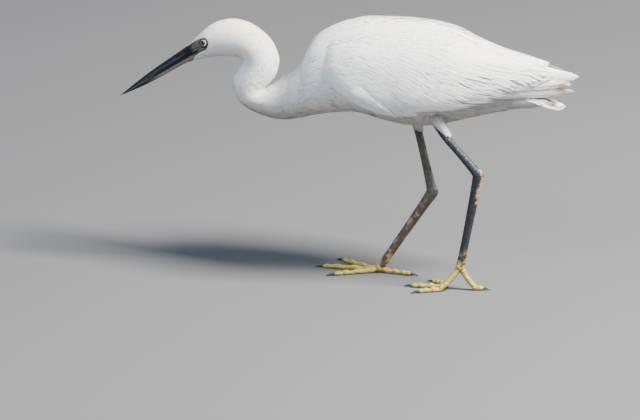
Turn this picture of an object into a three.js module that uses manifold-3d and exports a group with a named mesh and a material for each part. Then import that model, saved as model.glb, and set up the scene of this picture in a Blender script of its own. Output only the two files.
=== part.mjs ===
// Little egret, life size, stepping forward with its neck folded and its bill held down.
// Millimetres. X runs from the bill (-) to the tail (+), Y from the bird's left side (-) to its right (+),
// Z up from the ground. The origin lies on the ground under the middle of the bird.

import * as THREE from 'three';
import { mergeVertices } from 'three/addons/utils/BufferGeometryUtils.js';
import Module from 'manifold-3d';

const wasm = await Module();
wasm.setup();

// Driving sizes
const touchGap = 0.3;
const billTip = [-240.5, 173.6];
const billHalfWidth = 6.2;
const billBow = 1.2;

// The slit nostrils: how far they lie from the corner of the mouth, over the mouth line and from the middle
const nostrils = { forward: 15, over: 4.2, outward: 4.6, size: [4.2, 1.2, 0.75] };
const eye = { x: -149.6, y: 8.2, z: 238.4, radius: 6.6 };
const lid = { setBack: 0.8, outward: 13, radius: 5.3, thickness: 1, turn: 0.28 };
const ankleRadius = 6;
const knuckleRadius = 5.2;
const wingTipX = 240.5;
const tailTipX = 223;
const toeLengths = { middle: 60, inner: 46, outer: 52, hind: 34 };
const toeRadius = 2.7;
const clawLength = 11;
const palmRadius = 13;

// Cross-sections of the bird from the face to the root of the tail. Each has its highest and lowest point
// on the midline (x, z) and half its width.
const ribs = [
  { top: [-169.5, 229.8], bottom: [-164.5, 214.6], half: 7.5 },
  { top: [-158.0, 241.2], bottom: [-157.0, 216.6], half: 11 },
  { top: [-148.3, 250.2], bottom: [-147.5, 219.4], half: 13.8 },
  { top: [-136.6, 257.3], bottom: [-134.0, 221.8], half: 15.6 },
  { top: [-120.9, 260.7], bottom: [-123.5, 222.0], half: 16.4 },
  { top: [-105.6, 258.0], bottom: [-115.0, 221.6], half: 16.6 },
  { top: [-91.5, 250.0], bottom: [-111.0, 219.8], half: 16.6 },
  { top: [-81.5, 240.0], bottom: [-110.0, 217.6], half: 16.6 },
  { top: [-75.0, 225.5], bottom: [-112.5, 214.4], half: 16.6 },
  { top: [-74.8, 215.0], bottom: [-116.2, 211.0], half: 16.8 },
  { top: [-78.0, 204.3], bottom: [-121.0, 203.2], half: 17 },
  { top: [-85.0, 193.8], bottom: [-122.4, 192.5], half: 17 },
  { top: [-96.0, 188.8], bottom: [-115.0, 175.8], half: 17 },
  { top: [-85.5, 190.0], bottom: [-99.5, 166.0], half: 17.5 },
  { top: [-77.0, 195.5], bottom: [-84.0, 161.0], half: 18.5 },
  { top: [-66.1, 203.0], bottom: [-67.4, 160.0], half: 20.5 },
  { top: [-53.3, 213.2], bottom: [-59.0, 161.0], half: 24 },
  { top: [-45.1, 227.0], bottom: [-52.7, 162.4], half: 28 },
  { top: [-40.0, 241.5], bottom: [-46.4, 164.0], half: 30.5 },
  { top: [-29.2, 253.5], bottom: [-32.7, 168.5], half: 34 },
  { top: [-8.0, 264.8], bottom: [-10.7, 172.3], half: 37 },
  { top: [13.7, 269.5], bottom: [10.8, 173.0], half: 38.5 },
  { top: [39.0, 270.5], bottom: [36.0, 168.0], half: 39 },
  { top: [64.8, 269.0], bottom: [61.7, 165.0], half: 38 },
  { top: [90.0, 263.0], bottom: [87.3, 167.0], half: 35 },
  { top: [111.6, 254.0], bottom: [108.8, 171.0], half: 30 },
  { top: [132.7, 242.0], bottom: [130.3, 176.0], half: 24 },
  { top: [152.0, 230.0], bottom: [152.0, 181.5], half: 17.5 },
  { top: [172.0, 217.0], bottom: [172.0, 186.0], half: 11.5 },
];

// Where the body is parted, counted in cross-sections from the face
const stations = { face: 0, nape: 5, neckBend: 9, neckFold: 15, neckRoot: 18, rump: 28 };

// The surface that the folded wings follow, by distance along the bird: top, bottom and half width
const wingRibs = [
  { x: -24, top: 257.5, bottom: 171.5, half: 38 },
  { x: -8, top: 266.5, bottom: 172.0, half: 43 },
  { x: 14, top: 272.0, bottom: 171.5, half: 46.5 },
  { x: 40, top: 273.5, bottom: 167.5, half: 48 },
  { x: 65, top: 273.5, bottom: 166.5, half: 47 },
  { x: 90, top: 272.0, bottom: 168.5, half: 44.5 },
  { x: 111, top: 267.5, bottom: 171.5, half: 40.5 },
  { x: 132, top: 258.5, bottom: 175.5, half: 35 },
  { x: 157, top: 250, bottom: 181, half: 28.5 },
  { x: 183, top: 244, bottom: 187.5, half: 22 },
  { x: 210, top: 237, bottom: 193.5, half: 16.5 },
  { x: 241, top: 230, bottom: 201, half: 11.5 },
];

// The lower edge of the folded wing, from the wrist to the tip
const wingLowerEdge = [
  { x: -21, z: 224 },
  { x: -19.5, z: 218.5 },
  { x: -12, z: 209.5 },
  { x: 10, z: 199 },
  { x: 29, z: 191.5 },
  { x: 58, z: 186 },
  { x: 95, z: 193 },
  { x: 128, z: 198 },
  { x: 168, z: 209.5 },
  { x: 207, z: 208.5 },
  { x: 241, z: 208.5 },
];

// How far from the top of the back the folded wing's upper edge lies, in radians round the body
const wingUpperEdge = [
  { x: -21, turn: 1.3 },
  { x: -19.5, turn: 1.12 },
  { x: -15, turn: 0.92 },
  { x: -7, turn: 0.72 },
  { x: 4, turn: 0.58 },
  { x: 40, turn: 0.44 },
  { x: 80, turn: 0.32 },
  { x: 120, turn: 0.16 },
  { x: 160, turn: 0.1 },
  { x: 241, turn: 0.1 },
];

// The vane of a feather: where its width is set along its length, its arch across and its thickness
const vaneStops = [
  { share: 0, width: 0.6 },
  { share: 0.3, width: 0.95 },
  { share: 0.62, width: 1 },
  { share: 0.88, width: 0.74 },
  { share: 1, width: 0.22 },
];
const shortVaneStops = [
  { share: 0, width: 0.7 },
  { share: 0.45, width: 1 },
  { share: 0.82, width: 0.84 },
  { share: 1, width: 0.26 },
];
const vaneArch = 0.09;
const vaneThickness = 0.6;

// The arm of the folded wing: where it ends, and how far its surface lies under the feathers
const armEndX = 112;
const armRise = [{ x: -21, rise: -0.9 }, { x: 10, rise: -1.2 }, { x: 50, rise: -3.2 }, { x: 90, rise: -4.2 }];
const armThickness = 9;

// The rows of the wing's feathers, from the deepest to the topmost. Roots and tips are places seen from the
// side (x, z), for the lowest, the middle and the uppermost feather of each row. Each feather leans by its
// roll and lies a layer over the one before, so that its lower edge stays clear of the feather below.
const wingRows = {
  primaries: {
    count: 4, half: [5.5, 6.5], roll: 0.1, layer: 0.75, rise: [-9, -9, -8.2], stops: vaneStops,
    roots: [[84, 198], [88, 206], [92, 214]],
    tips: [[231, 206.5], [239, 211], [238, 217]],
  },
  secondaries: {
    count: 6, half: [6.8, 7.2], roll: 0.14, layer: 0.2, rise: [-6.6, -5.8], stops: shortVaneStops,
    roots: [[54, 199], [76, 219], [96, 243]],
    tips: [[134, 199.5], [166, 211], [200, 229]],
  },
  tertials: {
    count: 4, half: [7.6, 7.6], roll: 0.13, layer: 0.2, rise: [-6, -3, -2], stops: shortVaneStops,
    roots: [[88, 238], [92, 251], [94, 264]],
    tips: [[226, 220], [239.5, 226.5], [204, 240]],
  },
  greaterCoverts: {
    count: 7, half: [8, 8.4], roll: 0.09, layer: 0.35, rise: [-5.4, -2.2, -2.2], stops: shortVaneStops,
    roots: [[14, 205], [48, 226], [84, 250]],
    tips: [[62, 189], [96, 207], [136, 237]],
  },
  medianCoverts: {
    count: 6, half: [7.6, 7.8], roll: 0.1, layer: 0.2, rise: [-5, -0.4, 0.3], stops: shortVaneStops,
    roots: [[-5, 212], [5, 233], [48, 256]],
    tips: [[34, 199], [60, 222], [94, 242]],
  },
  scapulars: {
    count: 4, half: [6.5, 6], roll: 0.1, layer: 0.6, rise: [-4.5, -0.8, -0.2], stops: shortVaneStops,
    roots: [[0, 243], [14, 257], [38, 267]],
    tips: [[96, 232], [128, 243], [152, 248]],
  },
  alula: {
    count: 2, half: [5, 5], roll: 0.1, layer: 0.8, rise: [-4, -0.8, 0], stops: shortVaneStops,
    roots: [[8, 201], [9, 204], [10, 207]],
    tips: [[57, 184], [53, 187], [48, 190]],
  },
};

// The tail: its root, the slope and sideways fall of its surface, and the sections of its feathered root
const tailRoot = { x: 176, z: 207 };
const tailSlope = 0.26;
const tailCurve = 0.008;
const tailPairs = 6;
const tailLayer = 0.9;
const tailRootRings = [
  { run: touchGap, top: 216.6, bottom: 186.3, half: 11.2 },
  { run: 8, top: 211.5, bottom: 186.8, half: 10 },
  { run: 19, top: 205.5, bottom: 188.6, half: 7.5 },
  { run: 33, top: 200, bottom: 191.6, half: 4.6 },
];

// Slivers thinner than this are merged away after joining
const meshTolerance = 0.15;

// A closed body from its points and triangles, turned so that its faces point out
function solid(points, triangles) {
  const corner = (index) => new THREE.Vector3(...points[index]);
  const volume = triangles.reduce((sum, [a, b, c]) => sum + corner(a).dot(corner(b).cross(corner(c))), 0);
  const turned = volume < 0 ? triangles.map(([a, b, c]) => [a, c, b]) : triangles;
  return new wasm.Manifold(new wasm.Mesh({
    numProp: 3,
    vertProperties: Float32Array.from(points.flat()),
    triVerts: Uint32Array.from(turned.flat()),
  }));
}

// A closed body from a three.js geometry
function solidFrom(geometry) {
  geometry.deleteAttribute('normal');
  geometry.deleteAttribute('uv');
  const merged = mergeVertices(geometry, 1e-4);
  const place = merged.getAttribute('position');
  const points = Array.from({ length: place.count }, (_, i) => [place.getX(i), place.getY(i), place.getZ(i)]);
  const index = Array.from(merged.getIndex().array);
  const triangles = Array.from({ length: index.length / 3 }, (_, i) => index.slice(3 * i, 3 * i + 3));
  return solid(points, triangles);
}

// The largest closed surface of a body
function largest(body) {
  const pieces = body.decompose();
  return pieces.reduce((best, piece) => (piece.volume() > best.volume() ? piece : best));
}

// A closed skin through rings of points, with a fan over each end
function loft(rings) {
  const sides = rings[0].length;
  const points = rings.flat();
  const triangles = [];
  for (let row = 0; row + 1 < rings.length; row += 1) {
    for (let side = 0; side < sides; side += 1) {
      const next = (side + 1) % sides;
      const [a, b] = [row * sides + side, row * sides + next];
      triangles.push([a, b, b + sides], [a, b + sides, a + sides]);
    }
  }
  for (const row of [0, rings.length - 1]) {
    const centre = [0, 1, 2].map((axis) => rings[row].reduce((sum, point) => sum + point[axis], 0) / sides);
    const hub = points.push(centre) - 1;
    for (let side = 0; side < sides; side += 1) {
      const [a, b] = [row * sides + side, row * sides + ((side + 1) % sides)];
      triangles.push(row === 0 ? [hub, b, a] : [hub, a, b]);
    }
  }
  return solid(points, triangles);
}

// A closed sheet between an outer and an inner grid of points, split into triangles alike on both faces
function sheet(outer, inner) {
  const rows = outer.length;
  const columns = outer[0].length;
  const layer = rows * columns;
  const at = (row, column) => row * columns + column;
  const triangles = [];
  for (let row = 0; row + 1 < rows; row += 1) {
    for (let column = 0; column + 1 < columns; column += 1) {
      const [a, b] = [at(row, column), at(row + 1, column)];
      triangles.push([a, b, b + 1], [a, b + 1, a + 1]);
      triangles.push([a + layer, b + 1 + layer, b + layer], [a + layer, a + 1 + layer, b + 1 + layer]);
    }
  }
  const rim = [];
  for (let row = 0; row + 1 < rows; row += 1) rim.push(at(row, 0));
  for (let column = 0; column + 1 < columns; column += 1) rim.push(at(rows - 1, column));
  for (let row = rows - 1; row > 0; row -= 1) rim.push(at(row, columns - 1));
  for (let column = columns - 1; column > 0; column -= 1) rim.push(at(0, column));
  rim.forEach((near, step) => {
    const far = rim[(step + 1) % rim.length];
    triangles.push([far, near, near + layer], [far, near + layer, far + layer]);
  });
  return solid([...outer.flat(), ...inner.flat()], triangles);
}

// A tube of round or oval section along a smooth path. Each stop is a point with its half depth, which is
// measured in the plane of the path and the vertical, and its half width across that plane.
function limb(stops, sides, stepsBetween) {
  const path = new THREE.CatmullRomCurve3(
    stops.map((stop) => new THREE.Vector3(...stop.at)), false, 'centripetal');
  const sizes = new THREE.CatmullRomCurve3(
    stops.map((stop) => new THREE.Vector3(stop.depth, stop.width ?? stop.depth, 0)), false, 'centripetal');
  const steps = (stops.length - 1) * stepsBetween;
  const [first, last] = [stops[0].at, stops.at(-1).at];
  const across = new THREE.Vector3(first[1] - last[1], last[0] - first[0], 0).normalize();
  const rings = Array.from({ length: steps + 1 }, (_, step) => {
    const along = path.getTangent(step / steps);
    const middle = path.getPoint(step / steps);
    const size = sizes.getPoint(step / steps);
    const rise = new THREE.Vector3().crossVectors(along, across).normalize();
    return Array.from({ length: sides }, (_, side) => {
      const turn = (2 * Math.PI * (side + 0.5)) / sides;
      return middle.clone()
        .addScaledVector(rise, size.x * Math.cos(turn))
        .addScaledVector(across, size.y * Math.sin(turn))
        .toArray();
    });
  });
  return loft(rings);
}

function ball(x, y, z, radius, across = 12, up = 8) {
  return solidFrom(new THREE.SphereGeometry(radius, across, up).translate(x, y, z));
}

// An upright round post about a point, taller than any foot
function post(x, y, z, radius) {
  const drum = new THREE.CylinderGeometry(radius, radius, 80, 16);
  return solidFrom(drum.rotateX(Math.PI / 2).translate(x, y, z));
}

// The curves along the body's highest and lowest points and its widths
const bodyTop = new THREE.CatmullRomCurve3(
  ribs.map((rib) => new THREE.Vector3(rib.top[0], 0, rib.top[1])), false, 'centripetal');
const bodyBottom = new THREE.CatmullRomCurve3(
  ribs.map((rib) => new THREE.Vector3(rib.bottom[0], 0, rib.bottom[1])), false, 'centripetal');
const bodyWidth = new THREE.CatmullRomCurve3(
  ribs.map((rib, index) => new THREE.Vector3(rib.half, 0, index * 3)), false, 'centripetal');

// One cross-section of the body as a ring, grown outwards and moved along the body
function bodyRing(station, sides, grown, shift) {
  const share = station / (ribs.length - 1);
  const top = bodyTop.getPoint(share);
  const bottom = bodyBottom.getPoint(share);
  const width = bodyWidth.getPoint(share);
  const rise = top.clone().sub(bottom).multiplyScalar(0.5);
  const middle = top.clone().add(bottom).multiplyScalar(0.5);
  const along = new THREE.Vector3(rise.z, 0, -rise.x).normalize();
  const height = rise.length() + grown;
  rise.normalize();
  return Array.from({ length: sides }, (_, side) => {
    const turn = (2 * Math.PI * side) / sides;
    return middle.clone()
      .addScaledVector(rise, height * Math.cos(turn))
      .addScaledVector(along, shift)
      .setY((width.x + grown) * Math.sin(turn))
      .toArray();
  });
}

// A length of the body between two cross-sections, with flat ends that keep the gap to the next length
function bodyLength(from, to, { sides = 20, steps = 2, grown = 0 } = {}) {
  const count = Math.round((to - from) * steps);
  const rings = Array.from({ length: count + 1 }, (_, step) => {
    const shift = step === 0 ? touchGap / 2 : step === count ? -touchGap / 2 : 0;
    return bodyRing(from + (step * (to - from)) / count, sides, grown, shift);
  });
  return loft(rings);
}

// A value between stations along the bird, on a smooth curve through them
function smoothBetween(table, key, x) {
  const last = table.length - 1;
  const clamped = Math.min(Math.max(x, table[0].x), table[last].x);
  let left = 0;
  while (left < last - 1 && table[left + 1].x < clamped) left += 1;
  const slope = (index) => {
    const [a, b] = [Math.max(index - 1, 0), Math.min(index + 1, last)];
    return (table[b][key] - table[a][key]) / (table[b].x - table[a].x);
  };
  const [p, q] = [table[left], table[left + 1]];
  const span = q.x - p.x;
  const t = (clamped - p.x) / span;
  const [t2, t3] = [t * t, t * t * t];
  return (2 * t3 - 3 * t2 + 1) * p[key] + (t3 - 2 * t2 + t) * span * slope(left)
    + (3 * t2 - 2 * t3) * q[key] + (t3 - t2) * span * slope(left + 1);
}

// A point of the folded left wing's surface, given by its distance along the bird and by its turn from the
// top in radians
function wingPoint(x, turn, lift) {
  const top = smoothBetween(wingRibs, 'top', x);
  const bottom = smoothBetween(wingRibs, 'bottom', x);
  const half = smoothBetween(wingRibs, 'half', x);
  const height = (top - bottom) / 2;
  return [x, -(half + lift) * Math.sin(turn), (top + bottom) / 2 + (height + lift) * Math.cos(turn)];
}

// How far the wing's surface has turned from the top where it passes a height
function wingTurn(x, z) {
  const top = smoothBetween(wingRibs, 'top', x);
  const bottom = smoothBetween(wingRibs, 'bottom', x);
  const share = (2 * z - top - bottom) / (top - bottom);
  return Math.acos(Math.min(Math.max(share, -0.99), 0.99));
}

// A place on the left wing's surface given by its distance along the bird and its height, with the way out
function placeOnWing(x, z) {
  const turn = wingTurn(x, z);
  const difference = (near, far) => new THREE.Vector3(...far).sub(new THREE.Vector3(...near));
  const along = difference(wingPoint(x - 1, turn, 0), wingPoint(x + 1, turn, 0));
  const up = difference(wingPoint(x, turn + 0.02, 0), wingPoint(x, turn - 0.02, 0));
  return { point: new THREE.Vector3(...wingPoint(x, turn, 0)), out: along.cross(up).normalize() };
}

// A place on the surface that the tail feathers follow: it slopes down behind and falls away to both sides
function placeOnTail(x, y) {
  const height = tailRoot.z - tailSlope * (x - tailRoot.x) - tailCurve * y * y;
  const out = new THREE.Vector3(tailSlope, 2 * tailCurve * y, 1).normalize();
  return { point: new THREE.Vector3(x, y, height), out };
}

// One feather's vane on a surface, from its root to its tip: slightly arched across, its lower edge raised
// over the next feather, narrow at the root and rounded at the tip. Its rise is its height over the surface.
function vane(place, { root, tip, half, rise, roll, stops: widths }) {
  const stops = widths.map(({ share, width }, index) => {
    const { point, out } = place(root[0] + share * (tip[0] - root[0]), root[1] + share * (tip[1] - root[1]));
    const lift = rise[Math.min(index, rise.length - 1)];
    return { middle: point.addScaledVector(out, lift), out, half: half * width };
  });
  const grid = (layer) => stops.map(({ middle, out, half: reach }, index) => {
    const ahead = stops[Math.min(index + 1, stops.length - 1)].middle;
    const behind = stops[Math.max(index - 1, 0)].middle;
    const across = new THREE.Vector3().crossVectors(out, ahead.clone().sub(behind)).normalize();
    return [-1, 0, 1].map((edge) => {
      const arch = vaneArch * reach * (1 - edge * edge);
      const height = arch - edge * reach * roll + layer * vaneThickness / 2;
      return middle.clone().addScaledVector(across, edge * reach).addScaledVector(out, height).toArray();
    });
  });
  return sheet(grid(1), grid(-1));
}

// A place part of the way along a bent row that is given by its first, middle and last place
function alongRow(row, share) {
  const weights = [(1 - share) * (1 - 2 * share), 4 * share * (1 - share), share * (2 * share - 1)];
  return [0, 1].map((axis) => weights.reduce((sum, weight, index) => sum + weight * row[index][axis], 0));
}

// A row of feathers, from the first to the last
function featherRow(place, { count, roots, tips, half, rise, roll, layer, stops }) {
  return Array.from({ length: count }, (_, index) => {
    const share = count > 1 ? index / (count - 1) : 0;
    return vane(place, {
      root: alongRow(roots, share),
      tip: alongRow(tips, share),
      half: half[0] + share * (half[1] - half[0]),
      rise: rise.map((height) => height + index * layer),
      roll,
      stops,
    });
  });
}

// The flesh and small feathers of the folded left arm, from the wrist back to the elbow
function wingArm() {
  const rows = 9;
  const columns = 6;
  const front = wingLowerEdge[0].x;
  const grid = (layer) => Array.from({ length: rows + 1 }, (_, row) => {
    const x = front + (row / rows) ** 1.7 * (armEndX - front);
    const upper = smoothBetween(wingUpperEdge, 'turn', x);
    const lower = wingTurn(x, smoothBetween(wingLowerEdge, 'z', x) + 1.5);
    const rise = smoothBetween(armRise, 'rise', x) - layer * armThickness;
    return Array.from({ length: columns + 1 }, (_, column) =>
      wingPoint(x, upper + (column / columns) * (lower - upper), rise));
  });
  return sheet(grid(0), grid(1));
}

// The folded left wing: the arm with its feathers in rows, cut clear of the body and of the other wing
function leftWingBody(body) {
  const feathers = Object.values(wingRows).flatMap((row) => featherRow(placeOnWing, row));
  const whole = feathers.reduce((wing, feather) => wing.add(feather), wingArm());
  return largest(whole.subtract(body).trimByPlane([0, -1, 0], touchGap).simplify(meshTolerance));
}

function mirrored(body) {
  const mesh = body.getMesh();
  const points = Array.from({ length: mesh.numVert }, (_, i) => {
    const [x, y, z] = mesh.vertProperties.slice(i * mesh.numProp, i * mesh.numProp + 3);
    return [x, -y, z];
  });
  const corners = (i) => Array.from(mesh.triVerts.slice(3 * i, 3 * i + 3));
  const triangles = Array.from({ length: mesh.numTri }, (_, i) => corners(i));
  return solid(points, triangles);
}

// The closed tail: the root under its coverts and twelve tail feathers, the middle pair on top
function tailBody() {
  const last = ribs.at(-1);
  const middleZ = (last.top[1] + last.bottom[1]) / 2;
  const sides = 14;
  const rootRings = tailRootRings.map(({ run, top, bottom, half }) => {
    const height = (top - bottom) / 2;
    return Array.from({ length: sides }, (_, side) => {
      const turn = (2 * Math.PI * side) / sides;
      return [last.top[0] + run, half * Math.sin(turn), (top + bottom) / 2 + height * Math.cos(turn)];
    });
  });
  let tail = loft(rootRings);
  for (const side of [-1, 1]) {
    for (let pair = 0; pair < tailPairs; pair += 1) {
      const share = pair / (tailPairs - 1);
      tail = tail.add(vane(placeOnTail, {
        root: [tailRoot.x, side * (1 + 3.5 * share)],
        tip: [tailTipX - 6 * share * share, side * (3.2 + 13.5 * share)],
        half: 6.2 - 0.6 * share,
        rise: [-tailLayer * pair],
        roll: side * 0.04,
        stops: shortVaneStops,
      }));
    }
  }
  return largest(tail.simplify(meshTolerance));
}

// The bill's rings, from the face to the tip
function bill() {
  const face = ribs[0];
  const stops = 7;
  const reach = 0.985;
  const tip = new THREE.Vector3(billTip[0], 0, billTip[1]);
  const normal = new THREE.Vector3(face.bottom[1] - face.top[1], 0, face.top[0] - face.bottom[0]).normalize();
  const start = (point, inset) => (
    new THREE.Vector3(point[0], 0, point[1] + inset).addScaledVector(normal, touchGap));
  const rings = Array.from({ length: stops + 1 }, (_, stop) => {
    const share = reach * (stop / stops);
    const culmen = start(face.top, -0.4).lerp(tip, share);
    const gonys = start(face.bottom, 0.6).lerp(tip, share);
    culmen.z += billBow * Math.sin(Math.PI * share);
    gonys.z -= billBow * Math.sin(Math.PI * share);
    const rise = culmen.clone().sub(gonys).multiplyScalar(0.5);
    const middle = culmen.clone().add(gonys).multiplyScalar(0.5);
    const half = billHalfWidth * (1 - share) ** 0.85;
    return Array.from({ length: 14 }, (_, side) => {
      const turn = (2 * Math.PI * side) / 14;
      return middle.clone().addScaledVector(rise, Math.cos(turn)).setY(half * Math.sin(turn)).toArray();
    });
  });
  return loft(rings);
}

// The mouth line, as the plane that parts the two halves of the bill
function mouthPlane() {
  const face = ribs[0];
  const highShare = 0.38;
  const corner = new THREE.Vector3(face.bottom[0], 0, face.bottom[1])
    .lerp(new THREE.Vector3(face.top[0], 0, face.top[1]), highShare);
  const tip = new THREE.Vector3(billTip[0], 0, billTip[1] - 0.2);
  const along = tip.clone().sub(corner).normalize();
  const normal = new THREE.Vector3(along.z, 0, -along.x);
  return { corner, along, normal, offset: normal.dot(corner) };
}

// The raised ring of both lids round an eye
function lids(side, grown) {
  return solidFrom(
    new THREE.TorusGeometry(lid.radius, lid.thickness + grown, 5, 12)
      .rotateX(Math.PI / 2)
      .rotateZ(side * lid.turn)
      .translate(eye.x - lid.setBack, side * lid.outward, eye.z));
}

// Outline of the bare skin between the bill and the eye, seen from the side
const bareSkinOutline = [
  [-172, 229.0], [-166, 231.6], [-157, 239.8], [-151, 244.6], [-145.5, 243.2], [-142.6, 238.2],
  [-144.2, 231.6], [-150.5, 229.4], [-157.5, 226.4], [-164.5, 222.8], [-170, 220.6],
];

function bareSkinBlock(side, grown) {
  const middle = [-155, 233];
  const innerFace = -6.2;
  const turn = 0.3;
  const outline = new THREE.Shape(bareSkinOutline.map(([x, z]) => {
    const reach = Math.hypot(x - middle[0], z - middle[1]);
    const scale = (reach + grown) / reach;
    return new THREE.Vector2(middle[0] + (x - middle[0]) * scale, middle[1] + (z - middle[1]) * scale);
  }));
  const block = new THREE.ExtrudeGeometry(outline, { depth: 20, bevelEnabled: false, steps: 1 })
    .rotateX(Math.PI / 2)
    .translate(-middle[0], 0, 0)
    .rotateZ(turn)
    .translate(middle[0], innerFace + grown, 0);
  const left = solidFrom(block);
  return side < 0 ? left : mirrored(left);
}

function headParts() {
  const whole = bodyLength(stations.face, stations.nape);
  const mouth = mouthPlane();
  const slit = solidFrom(new THREE.BoxGeometry(12, 40, 0.5)
    .rotateY(Math.atan2(-mouth.along.z, mouth.along.x) + Math.PI)
    .translate(mouth.corner.x + 2, 0, mouth.corner.z + 1.4));
  let head = whole;
  const parts = {};
  for (const [name, side] of [['left', -1], ['right', 1]]) {
    const ballOfEye = ball(eye.x, side * eye.y, eye.z, eye.radius);
    const socket = ball(eye.x, side * eye.y, eye.z, eye.radius + touchGap);
    parts[`eye_${name}`] = ballOfEye;
    const skin = whole.intersect(bareSkinBlock(side, 0)).add(lids(side, 0));
    parts[`lore_${name}`] = largest(skin.subtract(socket).subtract(slit));
    head = head.subtract(bareSkinBlock(side, touchGap)).subtract(lids(side, touchGap)).subtract(socket);
  }
  parts.head = largest(head.subtract(slit));
  return parts;
}

function billParts() {
  const { normal, offset, along, corner } = mouthPlane();
  const whole = bill();
  const up = normal.z > 0 ? 1 : -1;
  const plane = normal.clone().multiplyScalar(up).toArray();
  const upper = whole.trimByPlane(plane, up * offset + touchGap / 2);
  const lower = whole.trimByPlane(plane.map((value) => -value), -up * offset + touchGap / 2);
  const nostrilAt = corner.clone().addScaledVector(along, nostrils.forward)
    .addScaledVector(new THREE.Vector3(...plane), nostrils.over);
  const tilt = Math.atan2(-along.z, along.x);
  const nostril = (side) => solidFrom(new THREE.SphereGeometry(1, 8, 6)
    .scale(...nostrils.size)
    .rotateY(tilt)
    .translate(nostrilAt.x, side * nostrils.outward, nostrilAt.z));
  return {
    bill_upper: largest(upper.subtract(nostril(-1)).subtract(nostril(1))),
    bill_lower: largest(lower),
  };
}

// One leg: feathered thigh, bare shank, tarsus, foot, four toes and four claws
function legParts(name, { knee, cuff, ankle, knuckle, toes }, body) {
  const direction = new THREE.Vector3(...ankle).sub(new THREE.Vector3(...cuff)).normalize();
  const cuffPoint = new THREE.Vector3(...cuff);
  const overlap = cuffPoint.clone().addScaledVector(direction, -4).toArray();
  const thighWhole = limb([
    { at: knee, depth: 14, width: 11 },
    { at: cuffPoint.clone().lerp(new THREE.Vector3(...knee), 0.45).toArray(), depth: 8.5, width: 7.5 },
    { at: cuffPoint.clone().addScaledVector(direction, 3).toArray(), depth: 4.6, width: 4.4 },
  ], 12, 3);
  const cuffPlane = direction.dot(cuffPoint);
  const shankWhole = limb([
    { at: overlap, depth: 3.9, width: 3.5 },
    { at: cuffPoint.clone().lerp(new THREE.Vector3(...ankle), 0.45).toArray(), depth: 3.7, width: 3.3 },
    { at: cuffPoint.clone().lerp(new THREE.Vector3(...ankle), 0.85).toArray(), depth: 4.4, width: 3.8 },
    { at: ankle, depth: 6, width: 4.6 },
  ], 8, 3);
  const joint = ball(...ankle, ankleRadius, 10, 6);
  const jointRoom = ball(...ankle, ankleRadius + touchGap, 10, 6);
  const down = new THREE.Vector3(...knuckle).sub(new THREE.Vector3(...ankle));
  const stop = (share) => new THREE.Vector3(...ankle).addScaledVector(down, share).toArray();
  const knuckleRoom = ball(...knuckle, knuckleRadius + touchGap, 10, 6);
  const tarsusWhole = limb([
    { at: stop(0), depth: 5.6, width: 4.4 },
    { at: stop(0.1), depth: 5.0, width: 4.0 },
    { at: stop(0.25), depth: 4.1, width: 3.3 },
    { at: stop(0.6), depth: 3.8, width: 3.1 },
    { at: stop(0.88), depth: 4.0, width: 3.4 },
    { at: stop(1), depth: 4.6, width: 4.2 },
  ], 8, 2).add(joint);
  const ground = (piece) => piece.trimByPlane([0, 0, 1], 0);
  const palm = post(...knuckle, palmRadius);
  const palmRoom = post(...knuckle, palmRadius + touchGap);
  const parts = {};
  let foot = ball(...knuckle, knuckleRadius, 10, 6);
  let footRoom = knuckleRoom;
  for (const [toeName, toe] of Object.entries(toes)) {
    const [whole, claw] = toeAndClaw(knuckle, toe, toeLengths[toeName]);
    foot = foot.add(whole.intersect(palm));
    footRoom = footRoom.add(toeAndClaw(knuckle, toe, toeLengths[toeName], touchGap)[0]);
    parts[`toe_${name}_${toeName}`] = largest(ground(whole.subtract(palmRoom)));
    parts[`claw_${name}_${toeName}`] = largest(ground(claw));
  }
  parts[`thigh_${name}`] = largest(
    thighWhole.trimByPlane(direction.clone().negate().toArray(), -cuffPlane).subtract(body));
  parts[`shank_${name}`] = largest(
    shankWhole.trimByPlane(direction.toArray(), cuffPlane + touchGap).subtract(jointRoom));
  parts[`tarsus_${name}`] = largest(tarsusWhole.subtract(footRoom));
  parts[`foot_${name}`] = largest(ground(foot));
  return parts;
}

// A toe along the ground with its joint pads, and its claw. A raised knuckle brings the toe down in an arc.
function toeAndClaw(knuckle, { turn }, length, grown = 0) {
  const heading = new THREE.Vector3(-Math.cos(turn), Math.sin(turn), 0);
  const rest = toeRadius * 0.86;
  const drop = knuckle[2] - rest;
  const point = (run, height) => new THREE.Vector3(knuckle[0], knuckle[1], 0)
    .addScaledVector(heading, run).setZ(height).toArray();
  const fall = Math.min(drop * 0.9, length * 0.4);
  const flatFrom = Math.max(fall, 8);
  const flatLength = Math.max(length - Math.hypot(drop, flatFrom), 8);
  const stops = [
    { at: point(0, knuckle[2]), depth: 3.1 },
    { at: point(flatFrom * 0.5, rest + drop * 0.45), depth: 2.7 },
    { at: point(flatFrom, rest + drop * 0.04), depth: toeRadius },
    { at: point(flatFrom + flatLength * 0.25, rest), depth: toeRadius * 0.86 },
    { at: point(flatFrom + flatLength * 0.5, rest), depth: toeRadius },
    { at: point(flatFrom + flatLength * 0.75, rest), depth: toeRadius * 0.8 },
    { at: point(flatFrom + flatLength, rest), depth: toeRadius * 0.84 },
  ];
  const toe = limb(stops.map((stop) => ({ ...stop, depth: stop.depth + grown })), 8, 1);
  const tipRun = flatFrom + flatLength + touchGap;
  const claw = limb([
    { at: point(tipRun, rest), depth: toeRadius * 0.78, width: toeRadius * 0.6 },
    { at: point(tipRun + clawLength * 0.4, rest + 0.7), depth: 1.7, width: 1.1 },
    { at: point(tipRun + clawLength * 0.75, rest - 0.2), depth: 1.1, width: 0.7 },
    { at: point(tipRun + clawLength, 0.55), depth: 0.4, width: 0.3 },
  ], 6, 1);
  return [toe, claw];
}

const deg = Math.PI / 180;

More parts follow.
